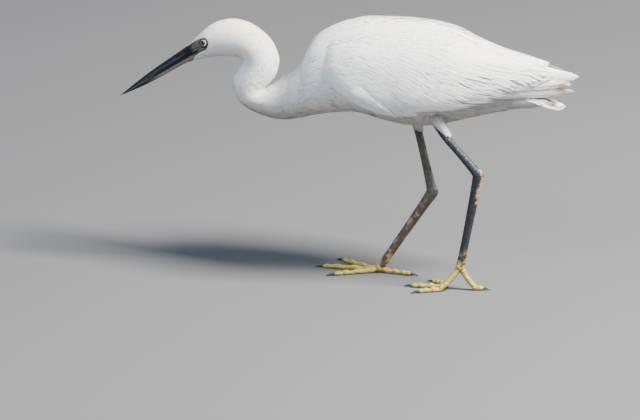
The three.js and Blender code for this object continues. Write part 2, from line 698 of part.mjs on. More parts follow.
// The near leg pushes off: its ankle is high and only its toes lie on the ground
const leftLeg = {
  knee: [88, -20, 183],
  cuff: [104, -28, 164.5],
  ankle: [139.7, -26, 121.5],
  knuckle: [116.4, -24, 24.5],
  toes: {
    middle: { turn: -2 * deg },
    inner: { turn: 24 * deg },
    outer: { turn: -26 * deg },
    hind: { turn: 172 * deg },
  },
};

// The far leg reaches forward and stands flat
const rightLeg = {
  knee: [60, 20, 183],
  cuff: [64.6, 22, 146],
  ankle: [76.4, 20, 85.5],
  knuckle: [21, 14, 4.6],
  toes: {
    middle: { turn: 2 * deg },
    inner: { turn: -26 * deg },
    outer: { turn: 28 * deg },
    hind: { turn: 188 * deg },
  },
};

const materials = {
  plumage: new THREE.MeshStandardMaterial({ color: 0xf3f1ec, roughness: 0.85, metalness: 0 }),
  bill: new THREE.MeshStandardMaterial({ color: 0x22262c, roughness: 0.35, metalness: 0 }),
  bare_skin: new THREE.MeshStandardMaterial({ color: 0x8d9a8a, roughness: 0.6, metalness: 0 }),
  eye: new THREE.MeshStandardMaterial({ color: 0xd9d29a, roughness: 0.08, metalness: 0 }),
  leg_skin: new THREE.MeshStandardMaterial({ color: 0x2a2a27, roughness: 0.5, metalness: 0 }),
  toe_skin: new THREE.MeshStandardMaterial({ color: 0xb39b3c, roughness: 0.55, metalness: 0 }),
  claw: new THREE.MeshStandardMaterial({ color: 0x1b1917, roughness: 0.4, metalness: 0 }),
};

function materialOf(name) {
  if (name.startsWith('bill')) return materials.bill;
  if (name.startsWith('lore')) return materials.bare_skin;
  if (name.startsWith('eye')) return materials.eye;
  if (name.startsWith('shank') || name.startsWith('tarsus')) return materials.leg_skin;
  if (name.startsWith('foot') || name.startsWith('toe')) return materials.toe_skin;
  if (name.startsWith('claw')) return materials.claw;
  return materials.plumage;
}

function meshOf(name, body) {
  const data = body.getMesh();
  const geometry = new THREE.BufferGeometry();
  geometry.setAttribute('position', new THREE.BufferAttribute(Float32Array.from(data.vertProperties), 3));
  geometry.setIndex(new THREE.BufferAttribute(Uint32Array.from(data.triVerts), 1));
  geometry.computeVertexNormals();
  const mesh = new THREE.Mesh(geometry, materialOf(name));
  mesh.name = name;
  return mesh;
}

const torso = bodyLength(stations.neckRoot, stations.rump);
const torsoRoom = bodyLength(stations.neckRoot, stations.rump, { grown: touchGap });
const leftWing = leftWingBody(torsoRoom);

const pieces = {
  ...billParts(),
  ...headParts(),
  neck_upper: bodyLength(stations.nape, stations.neckBend),
  neck_middle: bodyLength(stations.neckBend, stations.neckFold),
  neck_lower: bodyLength(stations.neckFold, stations.neckRoot),
  torso,
  wing_left: leftWing,
  wing_right: mirrored(leftWing),
  tail: tailBody(),
  ...legParts('left', leftLeg, torsoRoom),
  ...legParts('right', rightLeg, torsoRoom),
};

const egret = new THREE.Group();
for (const [name, body] of Object.entries(pieces)) egret.add(meshOf(name, body));

export default egret;
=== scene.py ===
"""Little egret, life size, stepping forward with its neck folded: skin, plumage, bill, eyes and legs.

Tables of places are in millimetres, in the same frame as the solids: X from the bill to the tail, Y from the
bird's left to its right, Z up from the ground. Everything that is built is in metres.
"""
import math

import bpy
import numpy as np
from mathutils import Matrix, Vector


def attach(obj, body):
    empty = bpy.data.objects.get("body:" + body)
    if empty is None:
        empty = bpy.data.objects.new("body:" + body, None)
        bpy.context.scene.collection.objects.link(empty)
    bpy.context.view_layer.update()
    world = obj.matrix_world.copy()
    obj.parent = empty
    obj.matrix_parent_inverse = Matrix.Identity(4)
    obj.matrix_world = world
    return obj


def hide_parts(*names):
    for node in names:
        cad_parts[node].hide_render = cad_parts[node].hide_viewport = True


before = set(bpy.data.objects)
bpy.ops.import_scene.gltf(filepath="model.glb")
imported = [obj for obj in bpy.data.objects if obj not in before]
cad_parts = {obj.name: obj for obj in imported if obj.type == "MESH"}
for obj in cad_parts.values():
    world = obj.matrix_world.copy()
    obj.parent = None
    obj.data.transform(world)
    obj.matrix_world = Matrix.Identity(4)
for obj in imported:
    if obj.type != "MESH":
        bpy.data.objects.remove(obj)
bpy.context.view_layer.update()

MM = 0.001
TURN = 2 * math.pi

# Sections of the body from the face to the root of the tail: highest point (x, z), lowest point (x, z),
# half width
BODY = np.array([
    (-169.5, 229.8, -164.5, 214.6, 7.0),
    (-158.0, 241.2, -157.0, 216.6, 11),
    (-148.3, 250.2, -147.5, 219.4, 13.8),
    (-136.6, 257.3, -134.0, 221.8, 15.6),
    (-120.9, 260.7, -123.5, 222.0, 16.4),
    (-105.6, 258.0, -115.0, 221.6, 16.6),
    (-91.5, 250.0, -111.0, 219.8, 16.6),
    (-81.5, 240.0, -110.0, 217.6, 16.6),
    (-75.0, 225.5, -112.5, 214.4, 16.6),
    (-74.8, 215.0, -116.2, 211.0, 16.8),
    (-78.0, 204.3, -121.0, 203.2, 17),
    (-82.6, 197.5, -122.4, 192.5, 17),
    (-88.6, 192.6, -115.0, 175.8, 17),
    (-83.0, 194.0, -99.5, 166.0, 17.5),
    (-76.2, 197.0, -84.0, 161.0, 18.5),
    (-66.1, 203.0, -67.4, 160.0, 20.5),
    (-53.3, 213.2, -59.0, 161.0, 24),
    (-45.1, 227.0, -52.7, 162.4, 28),
    (-40.0, 241.5, -46.4, 164.0, 30.5),
    (-29.2, 253.5, -32.7, 168.5, 34),
    (-8.0, 264.8, -10.7, 172.3, 37),
    (13.7, 269.5, 10.8, 173.0, 38.5),
    (39.0, 270.5, 36.0, 167.0, 39),
    (64.8, 269.0, 61.7, 162.8, 38),
    (90.0, 263.0, 87.3, 164.2, 35),
    (111.6, 254.0, 108.8, 169.8, 30),
    (132.7, 242.0, 130.3, 176.0, 24),
    (152.0, 230.0, 152.0, 181.5, 17.5),
    (172.0, 217.0, 172.0, 186.0, 12.5),
    (187.0, 203.5, 187.0, 188.0, 9),
    (203.0, 196.5, 203.0, 192.2, 4.6),
])

# Places on the body, counted in sections from the face
FACE, NAPE, NECK_BEND, NECK_FOLD, BREAST, VENT, RUMP = 0, 5, 9, 15, 20, 25, 30

# The coat along the body: section, width, length and spacing of its tufts, and how deep the skin lies under
# them
COAT = np.array([
    (0, 0.44, 3.2, 0.50, 0.15),
    (1.2, 0.52, 4.6, 0.56, 0.3),
    (3, 0.66, 7.5, 0.68, 0.55),
    (5, 0.85, 10.0, 0.86, 0.85),
    (9, 1.05, 13.0, 1.12, 1.2),
    (14, 1.2, 15.0, 1.32, 1.6),
    (18, 1.45, 18.0, 1.5, 2.1),
    (22, 1.6, 22.0, 1.65, 2.4),
    (28, 1.6, 25.0, 1.6, 2.2),
    (30, 1.4, 20.0, 1.4, 1.1),
])

# The surface that the folded wings follow: distance along the bird, top, bottom, half width
WING = np.array([
    (-24, 257.5, 171.5, 38),
    (-8, 266.5, 172.0, 43),
    (14, 272.0, 171.5, 46.5),
    (40, 273.5, 167.5, 48),
    (65, 273.5, 166.5, 47),
    (90, 272.0, 168.5, 44.5),
    (111, 267.5, 171.5, 40.5),
    (132, 258.5, 175.5, 35),
    (157, 250.0, 181.0, 28.5),
    (183, 244.0, 187.5, 19.5),
    (210, 237.0, 193.5, 11.5),
    (241, 230.0, 201.0, 6),
])

# The lower edge of the folded wing (x, z) and its upper edge (x, radians from the top of the back)
WING_LOWER = np.array([
    (-21, 224), (-19.5, 218.5), (-12, 209.5), (10, 199), (29, 191.5), (57, 185.5), (64, 190.5),
    (80, 192.5), (99, 192.5), (131, 198.5), (153, 209.5), (170, 210), (207, 208.5), (241, 208.5),
])
WING_UPPER = np.array([
    (-21, 1.3), (-19.5, 1.12), (-15, 0.92), (-7, 0.72), (4, 0.58),
    (40, 0.44), (80, 0.32), (120, 0.16), (160, 0.1), (241, 0.1),
])

# The rows of each wing's feathers, from the deepest to the topmost. Roots and tips are places seen from the
# side (x, z) for the lowest, the middle and the uppermost feather. Rise is the height over the wing's
# surface from root to tip, layer what each feather lies over the one before, roll how much its lower edge
# stands up, and barbs how many loose barbs each feather has and how long they are.
WING_ROWS = {
    "primaries": {
        "count": 7, "half": (6, 6.5),
        "roll": 0.06, "layer": 0.4, "rise": (-9, -7.6, -6.6, -5.8), "point": 2.6,
        "roots": ((84, 205), (88, 210), (92, 216)),
        "tips": ((219, 210.5), (228, 212), (225, 218)), "spread": 1.0, "barbs": (80, 11),
    },
    "secondaries": {
        "count": 13, "half": (7, 7.5),
        "roll": 0.06, "layer": 0.14, "rise": (-7.5, -5.8, -5.0, -4.4), "point": 3.0,
        "roots": ((54, 201), (76, 224), (96, 247)),
        "tips": ((130, 199.5), (164, 211), (200, 227)), "spread": 2.5, "barbs": (90, 14),
    },
    "longest": {
        "count": 3, "half": (7.6, 13.4),
        "roll": 0.05, "layer": 0.3, "rise": (-8, -5.8, -4.8, -4.4), "point": 4.2,
        "roots": ((112, 214), (112, 223), (114, 235)),
        "tips": ((233.2, 206), (230, 216.5), (237.4, 227)), "spread": 0.2, "barbs": (90, 8),
    },
    "tertials": {
        "count": 8, "half": (7.6, 7.6),
        "roll": 0.04, "layer": 0.14, "rise": (-7, -4.0, -3.2, -2.8), "point": 2.4,
        "roots": ((84, 242), (90, 254), (94, 264)),
        "tips": ((200, 217), (214, 228), (204, 239)), "spread": 1.6, "barbs": (90, 14),
    },
    "greater_coverts": {
        "count": 15, "half": (5.6, 6.4),
        "roll": 0.05, "layer": 0.1, "rise": (-6, -3.6, -3.2, -3.2), "point": 1.8,
        "roots": ((16, 210), (42, 235), (80, 256)),
        "tips": ((68, 191), (102, 199), (140, 229)), "spread": 4.5, "barbs": (80, 13),
    },
    "median_coverts": {
        "count": 16, "half": (5.0, 5.6),
        "roll": 0.04, "layer": 0.06, "rise": (-5, -2.6, -2.2, -2.4), "point": 1.6,
        "roots": ((-4, 218), (4, 241), (42, 261)),
        "tips": ((42, 193), (60, 205), (96, 235)), "spread": 5.0, "barbs": (80, 13),
    },
    "scapulars": {
        "count": 14, "half": (4.2, 4.0),
        "roll": 0.03, "layer": 0.06, "rise": (-4.5, -2.8, -2.4, -2.6), "point": 1.4,
        "roots": ((0, 247), (14, 260), (38, 268)),
        "tips": ((88, 226), (132, 232), (176, 241)), "spread": 6.0, "barbs": (70, 16),
    },
    "plumes": {
        "count": 26, "half": (1.6, 1.8),
        "roll": 0.0, "layer": 0.03, "rise": (-4.0, -2.4, -1.8, -1.6), "point": 1.1,
        "roots": ((34, 250), (64, 258), (96, 263)),
        "tips": ((132, 220), (176, 224), (204, 236)), "spread": 9.0, "barbs": (16, 7),
    },
    "loose": {
        "count": 10, "half": (2.4, 2.8),
        "roll": 0.02, "layer": 0.05, "rise": (-3.6, -2.0, -1.6, -1.8), "point": 1.4,
        "roots": ((128, 246), (152, 246), (178, 243)),
        "tips": ((172, 214), (194, 220), (207, 230)), "spread": 3.0, "barbs": (40, 9),
    },
    "alula": {
        "count": 7, "half": (4.2, 4.6),
        "roll": 0.12, "layer": 0.2, "rise": (-4, -1.2, -0.2, 0.4), "point": 1.7,
        "roots": ((4, 203), (8, 208), (8, 216)),
        "tips": ((57.5, 186), (54, 190), (46, 197)), "spread": 1.2, "barbs": (60, 10),
    },
}

# The tail: where its surface starts (x, z), how it falls behind and to the sides, and its pairs of feathers
TAIL = {
    "x": 176, "z": 207, "slope": 0.335, "curve": 0.004,
    "pairs": 6, "root": 150, "tip": 222, "spread": 4.4, "half": 4.5, "layer": 0.85, "barbs": (70, 11),
}

# How far back the plumes of the back and the uppermost wing plumes reach, and the deeper ones between the
# wing tips
MANTLE_END = 206.5
BETWEEN_END = 227.0

# An eye: the middle of the opening between the lids, the radius of the ball and of the opening, and how far
# the eye looks up and to the front, in radians
EYE = {"x": -148.0, "y": 13.2, "z": 238.2, "radius": 5.6, "opening": 4.1, "tilt": 0.22, "turn": 0.3}

# Upper and lower edge of the bare skin between the bill and the eye, seen from the side (x, z)
BARE_UPPER = np.array([
    (-171, 227.2), (-165.5, 232.8), (-159.5, 237.4), (-153.4, 240.9), (-148.0, 242.2), (-143.0, 238.8),
])
BARE_LOWER = np.array([
    (-168, 213.4), (-162.6, 215.6), (-159.0, 222.0), (-152.3, 227.6), (-146.1, 230.8), (-143.0, 238.2),
])
BARE_OUTLINE = np.concatenate([BARE_UPPER, BARE_LOWER[::-1]])

# The end of the mouth line in the bare skin, seen from the side
GAPE = np.array([(-172, 219.4), (-167.1, 222.3), (-160.5, 226.2), (-154.6, 229.9)])

# The bill: its tip (x, z), its half width at the face, how far ridge and keel bow out, the mouth corner's
# share of the height there, and the nostril's distance from that corner along the bill and above the mouth
# line
BILL = {"tip": (-241.8, 172.7), "half": 6.5, "bow": 1.6, "corner_share": 0.5, "nostril_at": (11, 3.6)}

# The legs: top, edge of the feathered cuff, ankle and knuckle as places (x, y, z); a pale line behind the
# ankle as steps (x, z) from it, the skin's own ochre patch on the left leg and a painted highlight down the
# shank on the right; the thigh as stops of place, half depth and half width; how much its cuff slants; and
# each toe's direction in degrees from straight ahead
LEGS = {
    "left": {
        "side": -1,
        "top": (92, -21, 174.5), "cuff": (104.5, -27, 161.5), "ankle": (138.4, -26, 122.5),
        "knuckle": (116.4, -24, 24.5),
        "heel": ((4, 7), (6.5, 1), (5, -7), (1.5, -16), (-1.5, -28)),
        "thigh": (
            (82, -12, 192, 16, 9), (92, -17.5, 181, 11, 8),
            (101, -24, 170.5, 6.4, 5.6), (109, -27.5, 159.5, 3.6, 3.8)),
        "cuff_slant": 0.75,
        "toes": {"middle": -2, "inner": 24, "outer": -26, "hind": 172},
    },
    "right": {
        "side": 1,
        "top": (59, 19, 160), "cuff": (63, 22, 147), "ankle": (76.4, 20, 86),
        "knuckle": (21, 14, 4.6),
        # A painted highlight: the pale line runs down the back of the shank, where the light falls.
        "heel": ((-7, 58), (-3.5, 40), (1, 22), (5, 6)),
        "thigh": (
            (58, 12, 188, 17, 9), (60, 16, 173, 11, 8.5),
            (62, 20, 160, 6.6, 6), (63.4, 22, 147, 4.2, 4.2)),
        "cuff_slant": 0.25,
        "toes": {"middle": 2, "inner": -26, "outer": 28, "hind": 188},
    },
}

# The toes: how far each reaches from the knuckle, their radius, and along the part that lies on the ground
# the share of its length and of the radius, swollen at the joints
TOE_LENGTHS = {"middle": 60, "inner": 46, "outer": 52, "hind": 34}
TOE_RADIUS = 2.7
TOE_SHAPE = (
    (0.12, 0.86), (0.24, 0.84), (0.36, 1.02), (0.48, 0.8), (0.6, 0.78),
    (0.7, 0.94), (0.82, 0.72), (0.92, 0.8), (1.0, 0.5),
)

# A claw: distance from the end of its toe, height over the ground, radius
CLAW_SHAPE = (
    (-2.6, 1.5, 0.9), (-0.8, 1.7, 1.5), (1.6, 2.1, 1.3), (4.6, 1.9, 0.95), (7.2, 1.2, 0.55), (9.0, 0.4, 0.15),
)

# How large a tuft's patch is on the unwrap, and the steps along and across a surface that its slopes are
# taken by
PATCH = 0.003
BODY_STEPS = (0.02, 0.004)
WING_STEPS = (0.5, 0.01)
VANE_STEPS = (0.01, 0.02)


# Curves and surfaces


def along(table, at):
    """Rows of a table at places counted in rows: a Catmull-Rom curve, whose four weights are cubics of the
    share of the way between two rows, so that it passes through every row."""
    table = np.asarray(table, float)
    at = np.clip(np.asarray(at, float), 0, len(table) - 1)
    row = np.minimum(at.astype(int), len(table) - 2)
    t = (at - row)[..., None]
    near = [table[np.clip(row + step, 0, len(table) - 1)] for step in (-1, 0, 1, 2)]
    weights = (
        (-t + 2 * t**2 - t**3) / 2,
        (2 - 5 * t**2 + 3 * t**3) / 2,
        (t + 4 * t**2 - 3 * t**3) / 2,
        (t**3 - t**2) / 2,
    )
    return sum(weight * point for weight, point in zip(weights, near))


def by_distance(table, x):
    """Rows of a table at distances along the bird, which its first column holds in rising order."""
    return along(table, np.interp(x, table[:, 0], np.arange(len(table))))


def unit(vectors):
    """Vectors divided by their lengths."""
    return vectors / np.maximum(np.linalg.norm(vectors, axis=-1, keepdims=True), 1e-12)


def body_point(u, v, lift=0.0):
    """A point of the body's surface, in millimetres. u counts sections from the face and v goes once round
    from the top to the right: an ellipse between the highest and the lowest point, grown by the lift."""
    row = along(BODY, u)
    middle = np.stack([(row[..., 0] + row[..., 2]) / 2, 0 * row[..., 0], (row[..., 1] + row[..., 3]) / 2], -1)
    rise = np.stack([(row[..., 0] - row[..., 2]) / 2, 0 * row[..., 0], (row[..., 1] - row[..., 3]) / 2], -1)
    height = np.linalg.norm(rise, axis=-1)
    up = (1 + lift / height) * np.cos(TURN * np.asarray(v))
    side = (row[..., 4] + lift) * np.sin(TURN * np.asarray(v))
    return middle + rise * up[..., None] + side[..., None] * np.array([0, 1, 0])


def wing_point(x, turn, lift=0.0, side=-1):
    """A point of a folded wing's surface, in millimetres: an ellipse across the bird at distance x, turned
    from the top of the back, and raised by the lift and by the flare of the lower edge."""
    row = by_distance(WING, x)
    height = (row[..., 1] - row[..., 2]) / 2
    lift = lift + wing_flare(x, turn)
    return np.stack(np.broadcast_arrays(
        np.asarray(x, float),
        side * (row[..., 3] + lift) * np.sin(turn),
        (row[..., 1] + row[..., 2]) / 2 + (height + lift) * np.cos(turn),
    ), -1)


def wing_turn(x, z):
    """How far the wing's surface has turned from the top of the back where it passes height z."""
    row = by_distance(WING, x)
    share = (2 * z - row[..., 1] - row[..., 2]) / (row[..., 1] - row[..., 2])
    return np.arccos(np.clip(share, -0.995, 0.995))


def wing_flare(x, turn):
    """How far the lower edge of a folded wing stands off from the flank: a smooth step down the wing's
    lower third that fades out towards the shoulder and the wing tip."""
    lower = wing_turn(x, by_distance(WING_LOWER, x)[..., 1])
    return 4.5 * fade(turn - lower, -0.75, 0.0) * fade(x, -16, 12) * (1 - fade(x, 100, 160))


def covert_point(x, share, lift, side):
    """A point of the wing's surface by its share of the way from the upper to the lower edge of the
    wing."""
    upper = by_distance(WING_UPPER, x)[..., 1]
    lower = wing_turn(x, by_distance(WING_LOWER, x)[..., 1])
    return wing_point(x, upper + (lower - upper) * share, lift, side)


def tail_point(x, y, lift=0.0):
    """A point of the surface of the tail: it slopes down behind and falls away to both sides by a
    parabola."""
    height = TAIL["z"] - TAIL["slope"] * (x - TAIL["x"]) - TAIL["curve"] * y**2
    return np.stack(np.broadcast_arrays(x, y, height + lift), -1)


def limb_point(stops, u, v, lift=0.0):
    """A point of a tube through stops of place, half depth and half width. u counts stops and v goes once
    round: across the tube an ellipse with one axis level, grown by the lift."""
    stops = np.asarray(stops, float)
    heading = stops[-1, :2] - stops[0, :2]
    across = unit(np.array([-heading[1], heading[0], 0.0]))
    row = along(stops, u)
    ahead = along(stops, u + 0.05)[..., :3] - along(stops, u - 0.05)[..., :3]
    rise = unit(np.cross(ahead, across))
    depth = ((row[..., 3] + lift) * np.cos(TURN * v))[..., None]
    width = ((row[..., 4] + lift) * np.sin(TURN * v))[..., None]
    return row[..., :3] + rise * depth + across * width


def slopes(surface, u, v, step_u, step_v):
    """How a surface moves for a step of one in u and in v, by central differences."""
    per_u = (surface(u + step_u, v) - surface(u - step_u, v)) / (2 * step_u)
    per_v = (surface(u, v + step_v) - surface(u, v - step_v)) / (2 * step_v)
    return per_u, per_v


def stretch(surface, u, v, steps, least=(0, 0)):
    """How many millimetres a surface covers for a step of one in u and in v, and no less than the least
    given."""
    both = zip(slopes(surface, u, v, *steps), least)
    return [np.maximum(np.linalg.norm(slope, axis=-1), low) for slope, low in both]


def lie(sway, mm_u, mm_v, droop=0.0):
    """Steps in u and v for one millimetre in a direction turned from that of u by the sway, and
    drooping."""
    return np.stack([np.cos(sway) / mm_u, (np.sin(sway) + droop) / mm_v], -1)


def ripple(points, scale, seed):
    """Smooth noise from -1 to 1: the mean of seven sine waves that run in seeded directions through the
    points."""
    draw = np.random.default_rng(seed)
    heading = unit(draw.normal(size=(7, 3))) * draw.uniform(0.6, 1.5, (7, 1)) * TURN / scale
    phase = draw.uniform(0, TURN, 7)
    return np.sin(points @ heading.T + phase).mean(-1) * 1.6


def fade(values, start, end):
    """A smooth step from 0 at the start to 1 at the end: three times the square less twice the cube."""
    t = np.clip((values - start) / (end - start), 0, 1)
    return t * t * (3 - 2 * t)


def hump(values, middle, width, power=2):
    """A rounded hump of height one: e to the minus square, or higher power, of the widths from its
    middle."""
    return np.exp(-(((values - middle) / width) ** power))


def side_of_head(x, z):
    """How far the side of the head lies from the middle at places seen from the side. The place is looked
    for on the body's surface by short steps of Newton's method in u and v."""
    u, v = np.full(np.shape(x), 1.5), np.full(np.shape(x), 0.25)
    eased = 0.8
    for _ in range(14):
        here = body_point(u, v)
        per_u, per_v = slopes(body_point, u, v, *BODY_STEPS)
        gap_x, gap_z = x - here[..., 0], z - here[..., 2]
        area = per_u[..., 0] * per_v[..., 2] - per_u[..., 2] * per_v[..., 0]
        u = np.clip(u + eased * (gap_x * per_v[..., 2] - gap_z * per_v[..., 0]) / area, 0, 6)
        v = np.clip(v + eased * (gap_z * per_u[..., 0] - gap_x * per_u[..., 2]) / area, 0.03, 0.47)
    return body_point(u, v)[..., 1]


def from_eye(x, z):
    """The distance from the middle of an eye, seen from the side."""
    return np.hypot(x - EYE["x"], z - EYE["z"])


def inside(outline, x, z):
    """True for places inside an outline seen from the side: a ray from them crosses its edges an odd number
    of times."""
    odd = np.zeros(np.shape(x), bool)
    for (x0, z0), (x1, z1) in zip(outline, np.roll(outline, -1, axis=0)):
        crosses = (z0 > z) != (z1 > z)
        odd ^= crosses & (x < x0 + (z - z0) * (x1 - x0) / (z1 - z0 + 1e-9))
    return odd


def line_distance(line, x, z):
    """The distance from places to a line of joined pieces, and its sign: above the line it is positive."""
    best = np.full(np.shape(x), 1e9)
    for (x0, z0), (x1, z1) in zip(line[:-1], line[1:]):
        reach = math.hypot(x1 - x0, z1 - z0)
        t = np.clip(((x - x0) * (x1 - x0) + (z - z0) * (z1 - z0)) / reach**2, 0, 1)
        away = np.hypot(x - x0 - t * (x1 - x0), z - z0 - t * (z1 - z0))
        above = np.sign((x1 - x0) * (z - z0) - (z1 - z0) * (x - x0))
        best = np.where(away < np.abs(best), away * above, best)
    return best


# Meshes


def mesh_object(name, points, faces, patch, marks):
    """An object at the origin from points in millimetres and faces of three or four corners, shaded smooth
    but for its sharp edges. patch holds each point's place on the unwrap, and marks named values for each
    point."""
    mesh = bpy.data.meshes.new(name)
    points = np.asarray(points, np.float32).reshape(-1, 3) * MM
    faces = [np.asarray(group, np.int32) for group in faces if len(group)]
    corners = np.concatenate([group.ravel() for group in faces])
    sizes = np.concatenate([np.full(len(group), group.shape[1], np.int32) for group in faces])
    mesh.vertices.add(len(points))
    mesh.vertices.foreach_set("co", points.ravel())
    mesh.loops.add(len(corners))
    mesh.loops.foreach_set("vertex_index", corners)
    mesh.polygons.add(len(sizes))
    mesh.polygons.foreach_set("loop_start", np.concatenate([[0], np.cumsum(sizes)[:-1]]).astype(np.int32))
    mesh.polygons.foreach_set("loop_total", sizes)
    mesh.update(calc_edges=True)
    mesh.polygons.foreach_set("use_smooth", np.ones(len(sizes), bool))
    mesh.set_sharp_from_angle(angle=math.radians(70))
    layer = mesh.uv_layers.new(name="OFBake")
    layer.data.foreach_set("uv", np.asarray(patch, np.float32).reshape(-1, 2)[corners].ravel())
    for mark, values in marks.items():
        attribute = mesh.attributes.new(mark, "FLOAT", "POINT")
        attribute.data.foreach_set("value", np.asarray(values, np.float32).ravel())
    mesh.validate()
    made = bpy.data.objects.new(name, mesh)
    bpy.context.scene.collection.objects.link(made)
    return made


def grid_faces(rows, columns, ends_meet=False):
    """Four-cornered faces over a grid of points that is closed round its columns, and also from its last
    row to its first where the ends meet."""
    row = np.arange(rows if ends_meet else rows - 1)[:, None] * columns
    next_row = (row + columns) % (rows * columns)
    column = np.arange(columns)[None, :]
    after = (column + 1) % columns
    return np.stack([row + column, row + after, next_row + after, next_row + column], -1).reshape(-1, 4)


def turned_out(points, quads, triangles):
    """The same closed shape with its faces pointing out: the volumes from the shape's middle to each of its
    faces are added up, and every face is reversed where their sum is negative."""
    halves = np.concatenate([triangles, quads[:, [0, 1, 2]], quads[:, [0, 2, 3]]])
    a, b, c = (points[halves[:, corner]] - points.mean(0) for corner in range(3))
    if np.einsum("ij,ij->", a, np.cross(b, c)) < 0:
        return points, quads[:, ::-1], triangles[:, ::-1]
    return points, quads, triangles


def closed_tube(rings):
    """A tube through rings of points, with a pole in the middle of each end: points, four-cornered and
    three-cornered faces, all facing out."""
    rows, columns = rings.shape[:2]
    points = np.concatenate([rings.reshape(-1, 3), rings[0].mean(0)[None], rings[-1].mean(0)[None]])
    column = np.arange(columns)
    after = (column + 1) % columns
    start = np.stack([np.full(columns, rows * columns), after, column], -1)
    last = (rows - 1) * columns
    end = np.stack([np.full(columns, rows * columns + 1), last + column, last + after], -1)
    return turned_out(points, grid_faces(rows, columns), np.concatenate([start, end]))


class Shell:
    """Several closed shapes gathered into one mesh, with named values for their points."""

    def __init__(self, *marks):
        self.points, self.quads, self.triangles, self.patches = [], [], [], []
        self.marks = {mark: [] for mark in marks}
        self.count = 0

    def add(self, points, quads, triangles, patch=None, **marks):
        """Add a shape. A mark is one value, or one for each point; where points are left over, its last
        value."""
        self.points.append(points)
        self.quads.append(np.asarray(quads).reshape(-1, 4) + self.count)
        self.triangles.append(np.asarray(triangles).reshape(-1, 3) + self.count)
        self.patches.append(np.zeros((len(points), 2)) + 0.5 if patch is None else patch)
        for mark, values in self.marks.items():
            given = np.ravel(marks.get(mark, 0.0))
            values.append(np.append(given, np.full(len(points) - len(given), given[-1])))
        self.count += len(points)

    def add_tube(self, rings, **marks):
        """Add a closed tube through rings of points, unwrapped by its length and its girth."""
        self.add(*closed_tube(rings), patch=tube_patch(*rings.shape[:2]), **marks)

    def made(self, name):
        parts = (np.concatenate(group) for group in (self.points, self.quads, self.triangles, self.patches))
        points, quads, triangles, patch = parts
        marks = {mark: np.concatenate(values) for mark, values in self.marks.items()}
        return mesh_object(name, points, [quads, triangles], patch, marks)


def tube_patch(rows, columns):
    """The unwrap of a tube: its length across the map and its girth up it, with both poles in the
    corners."""
    across = np.repeat(np.linspace(0.01, 0.99, rows), columns)
    up = np.tile(np.linspace(0.01, 0.99, columns), rows)
    return np.append(np.stack([across, up], -1), [(0.005, 0.005), (0.995, 0.995)], axis=0)


# Plumage

# How a tuft's width runs from its root to just before its tip, at these shares of its length, and its ridge
TUFT_SHARES = np.array([0.0, 0.35, 0.72])
TUFT_WIDTHS = np.array([0.55, 1.0, 0.72])
TUFT_RIDGE = 0.16
TUFT_POINTS = 10


def tufts(surface, u, v, heading, length, width, lift, root, draw, facing=1, steps=BODY_STEPS):
    """Tapered tufts that lie along a surface, each a flat three-sided strand that ends in a point. Each
    follows the surface from its root (u, v) in its heading, given as steps in u and v for one millimetre,
    at a height that runs from the first lift to the second. root holds the places of the roots on the
    unwrap."""
    shares = np.append(TUFT_SHARES, 1.0)
    run = length[:, None] * shares
    at_u = u[:, None] + heading[:, :1] * run
    at_v = v[:, None] + heading[:, 1:] * run
    height = lift[0][:, None] * (1 - shares) ** 1.3 + lift[1][:, None] * shares
    base = surface(at_u, at_v, height)
    ahead = unit(np.gradient(base, axis=1))
    per_u, per_v = slopes(lambda a, b: surface(a, b, height), at_u, at_v, *steps)
    out = unit(np.cross(per_u, per_v)) * facing
    across = unit(np.cross(out, ahead))
    half = (width[:, None] * TUFT_WIDTHS / 2)[..., None]
    body, side, up = base[:, :3], across[:, :3], out[:, :3]
    ring = np.stack([body - side * half, body + up * half * TUFT_RIDGE, body + side * half], 2)
    count = len(u)
    points = np.concatenate([ring.reshape(count, 9, 3), base[:, 3:]], 1)
    corner, after = np.arange(3), np.array([1, 2, 0])
    sides = np.concatenate([
        np.stack([start + corner, start + 3 + corner, start + 3 + after, start + after], -1)
        for start in (0, 3)])
    caps = np.array([(1, 2, 0), (9, 7, 6), (9, 8, 7), (9, 6, 8)])
    first = np.arange(count)[:, None, None] * TUFT_POINTS
    places = [(a, b) for a in (-0.5, 0, 0.3) for b in (-0.5, 0, 0.5)] + [(0.5, 0)]
    patch = np.clip(root, 0.01, 0.99)[:, None] + np.array(places) * PATCH
    return {
        "points": points.reshape(-1, 3),
        "quads": (sides + first).reshape(-1, 4),
        "triangles": (caps + first).reshape(-1, 3),
        "patch": patch.reshape(-1, 2),
        "tone": np.repeat(draw.random(count), TUFT_POINTS),
    }


def tuft_piece(name, *tuft_values):
    """A piece of plumage that is one set of tufts."""
    shell = Shell("tone", "barb")
    shell.add(**tufts(*tuft_values))
    return shell.made(name)


def scattered(surface, u_range, v_range, spacing, draw, cells=(260, 200)):
    """Places spread evenly over a surface: the middles of a fine grid, each moved at random, and kept with
    the chance that its cell's area has to the square of the spacing there."""
    cell = (u_range[1] - u_range[0]) / cells[0], (v_range[1] - v_range[0]) / cells[1]
    u, v = (grid.ravel() for grid in np.meshgrid(
        u_range[0] + (np.arange(cells[0]) + 0.5) * cell[0],
        v_range[0] + (np.arange(cells[1]) + 0.5) * cell[1], indexing="ij"))
    per_u, per_v = slopes(surface, u, v, cell[0] / 2, cell[1] / 2)
    area = np.linalg.norm(np.cross(per_u, per_v), axis=-1) * cell[0] * cell[1]
    whole = np.floor(area / spacing(u, v) ** 2 + draw.random(len(u))).astype(int)
    u, v = np.repeat(u, whole), np.repeat(v, whole)
    u = u + draw.uniform(-0.5, 0.5, len(u)) * cell[0]
    v = v + draw.uniform(-0.5, 0.5, len(v)) * cell[1]
    return u, v


def coat_at(u):
    """Width, length and spacing of the tufts and depth of the skin at places along the body."""
    return [np.interp(u, COAT[:, 0], column) for column in COAT[:, 1:].T]


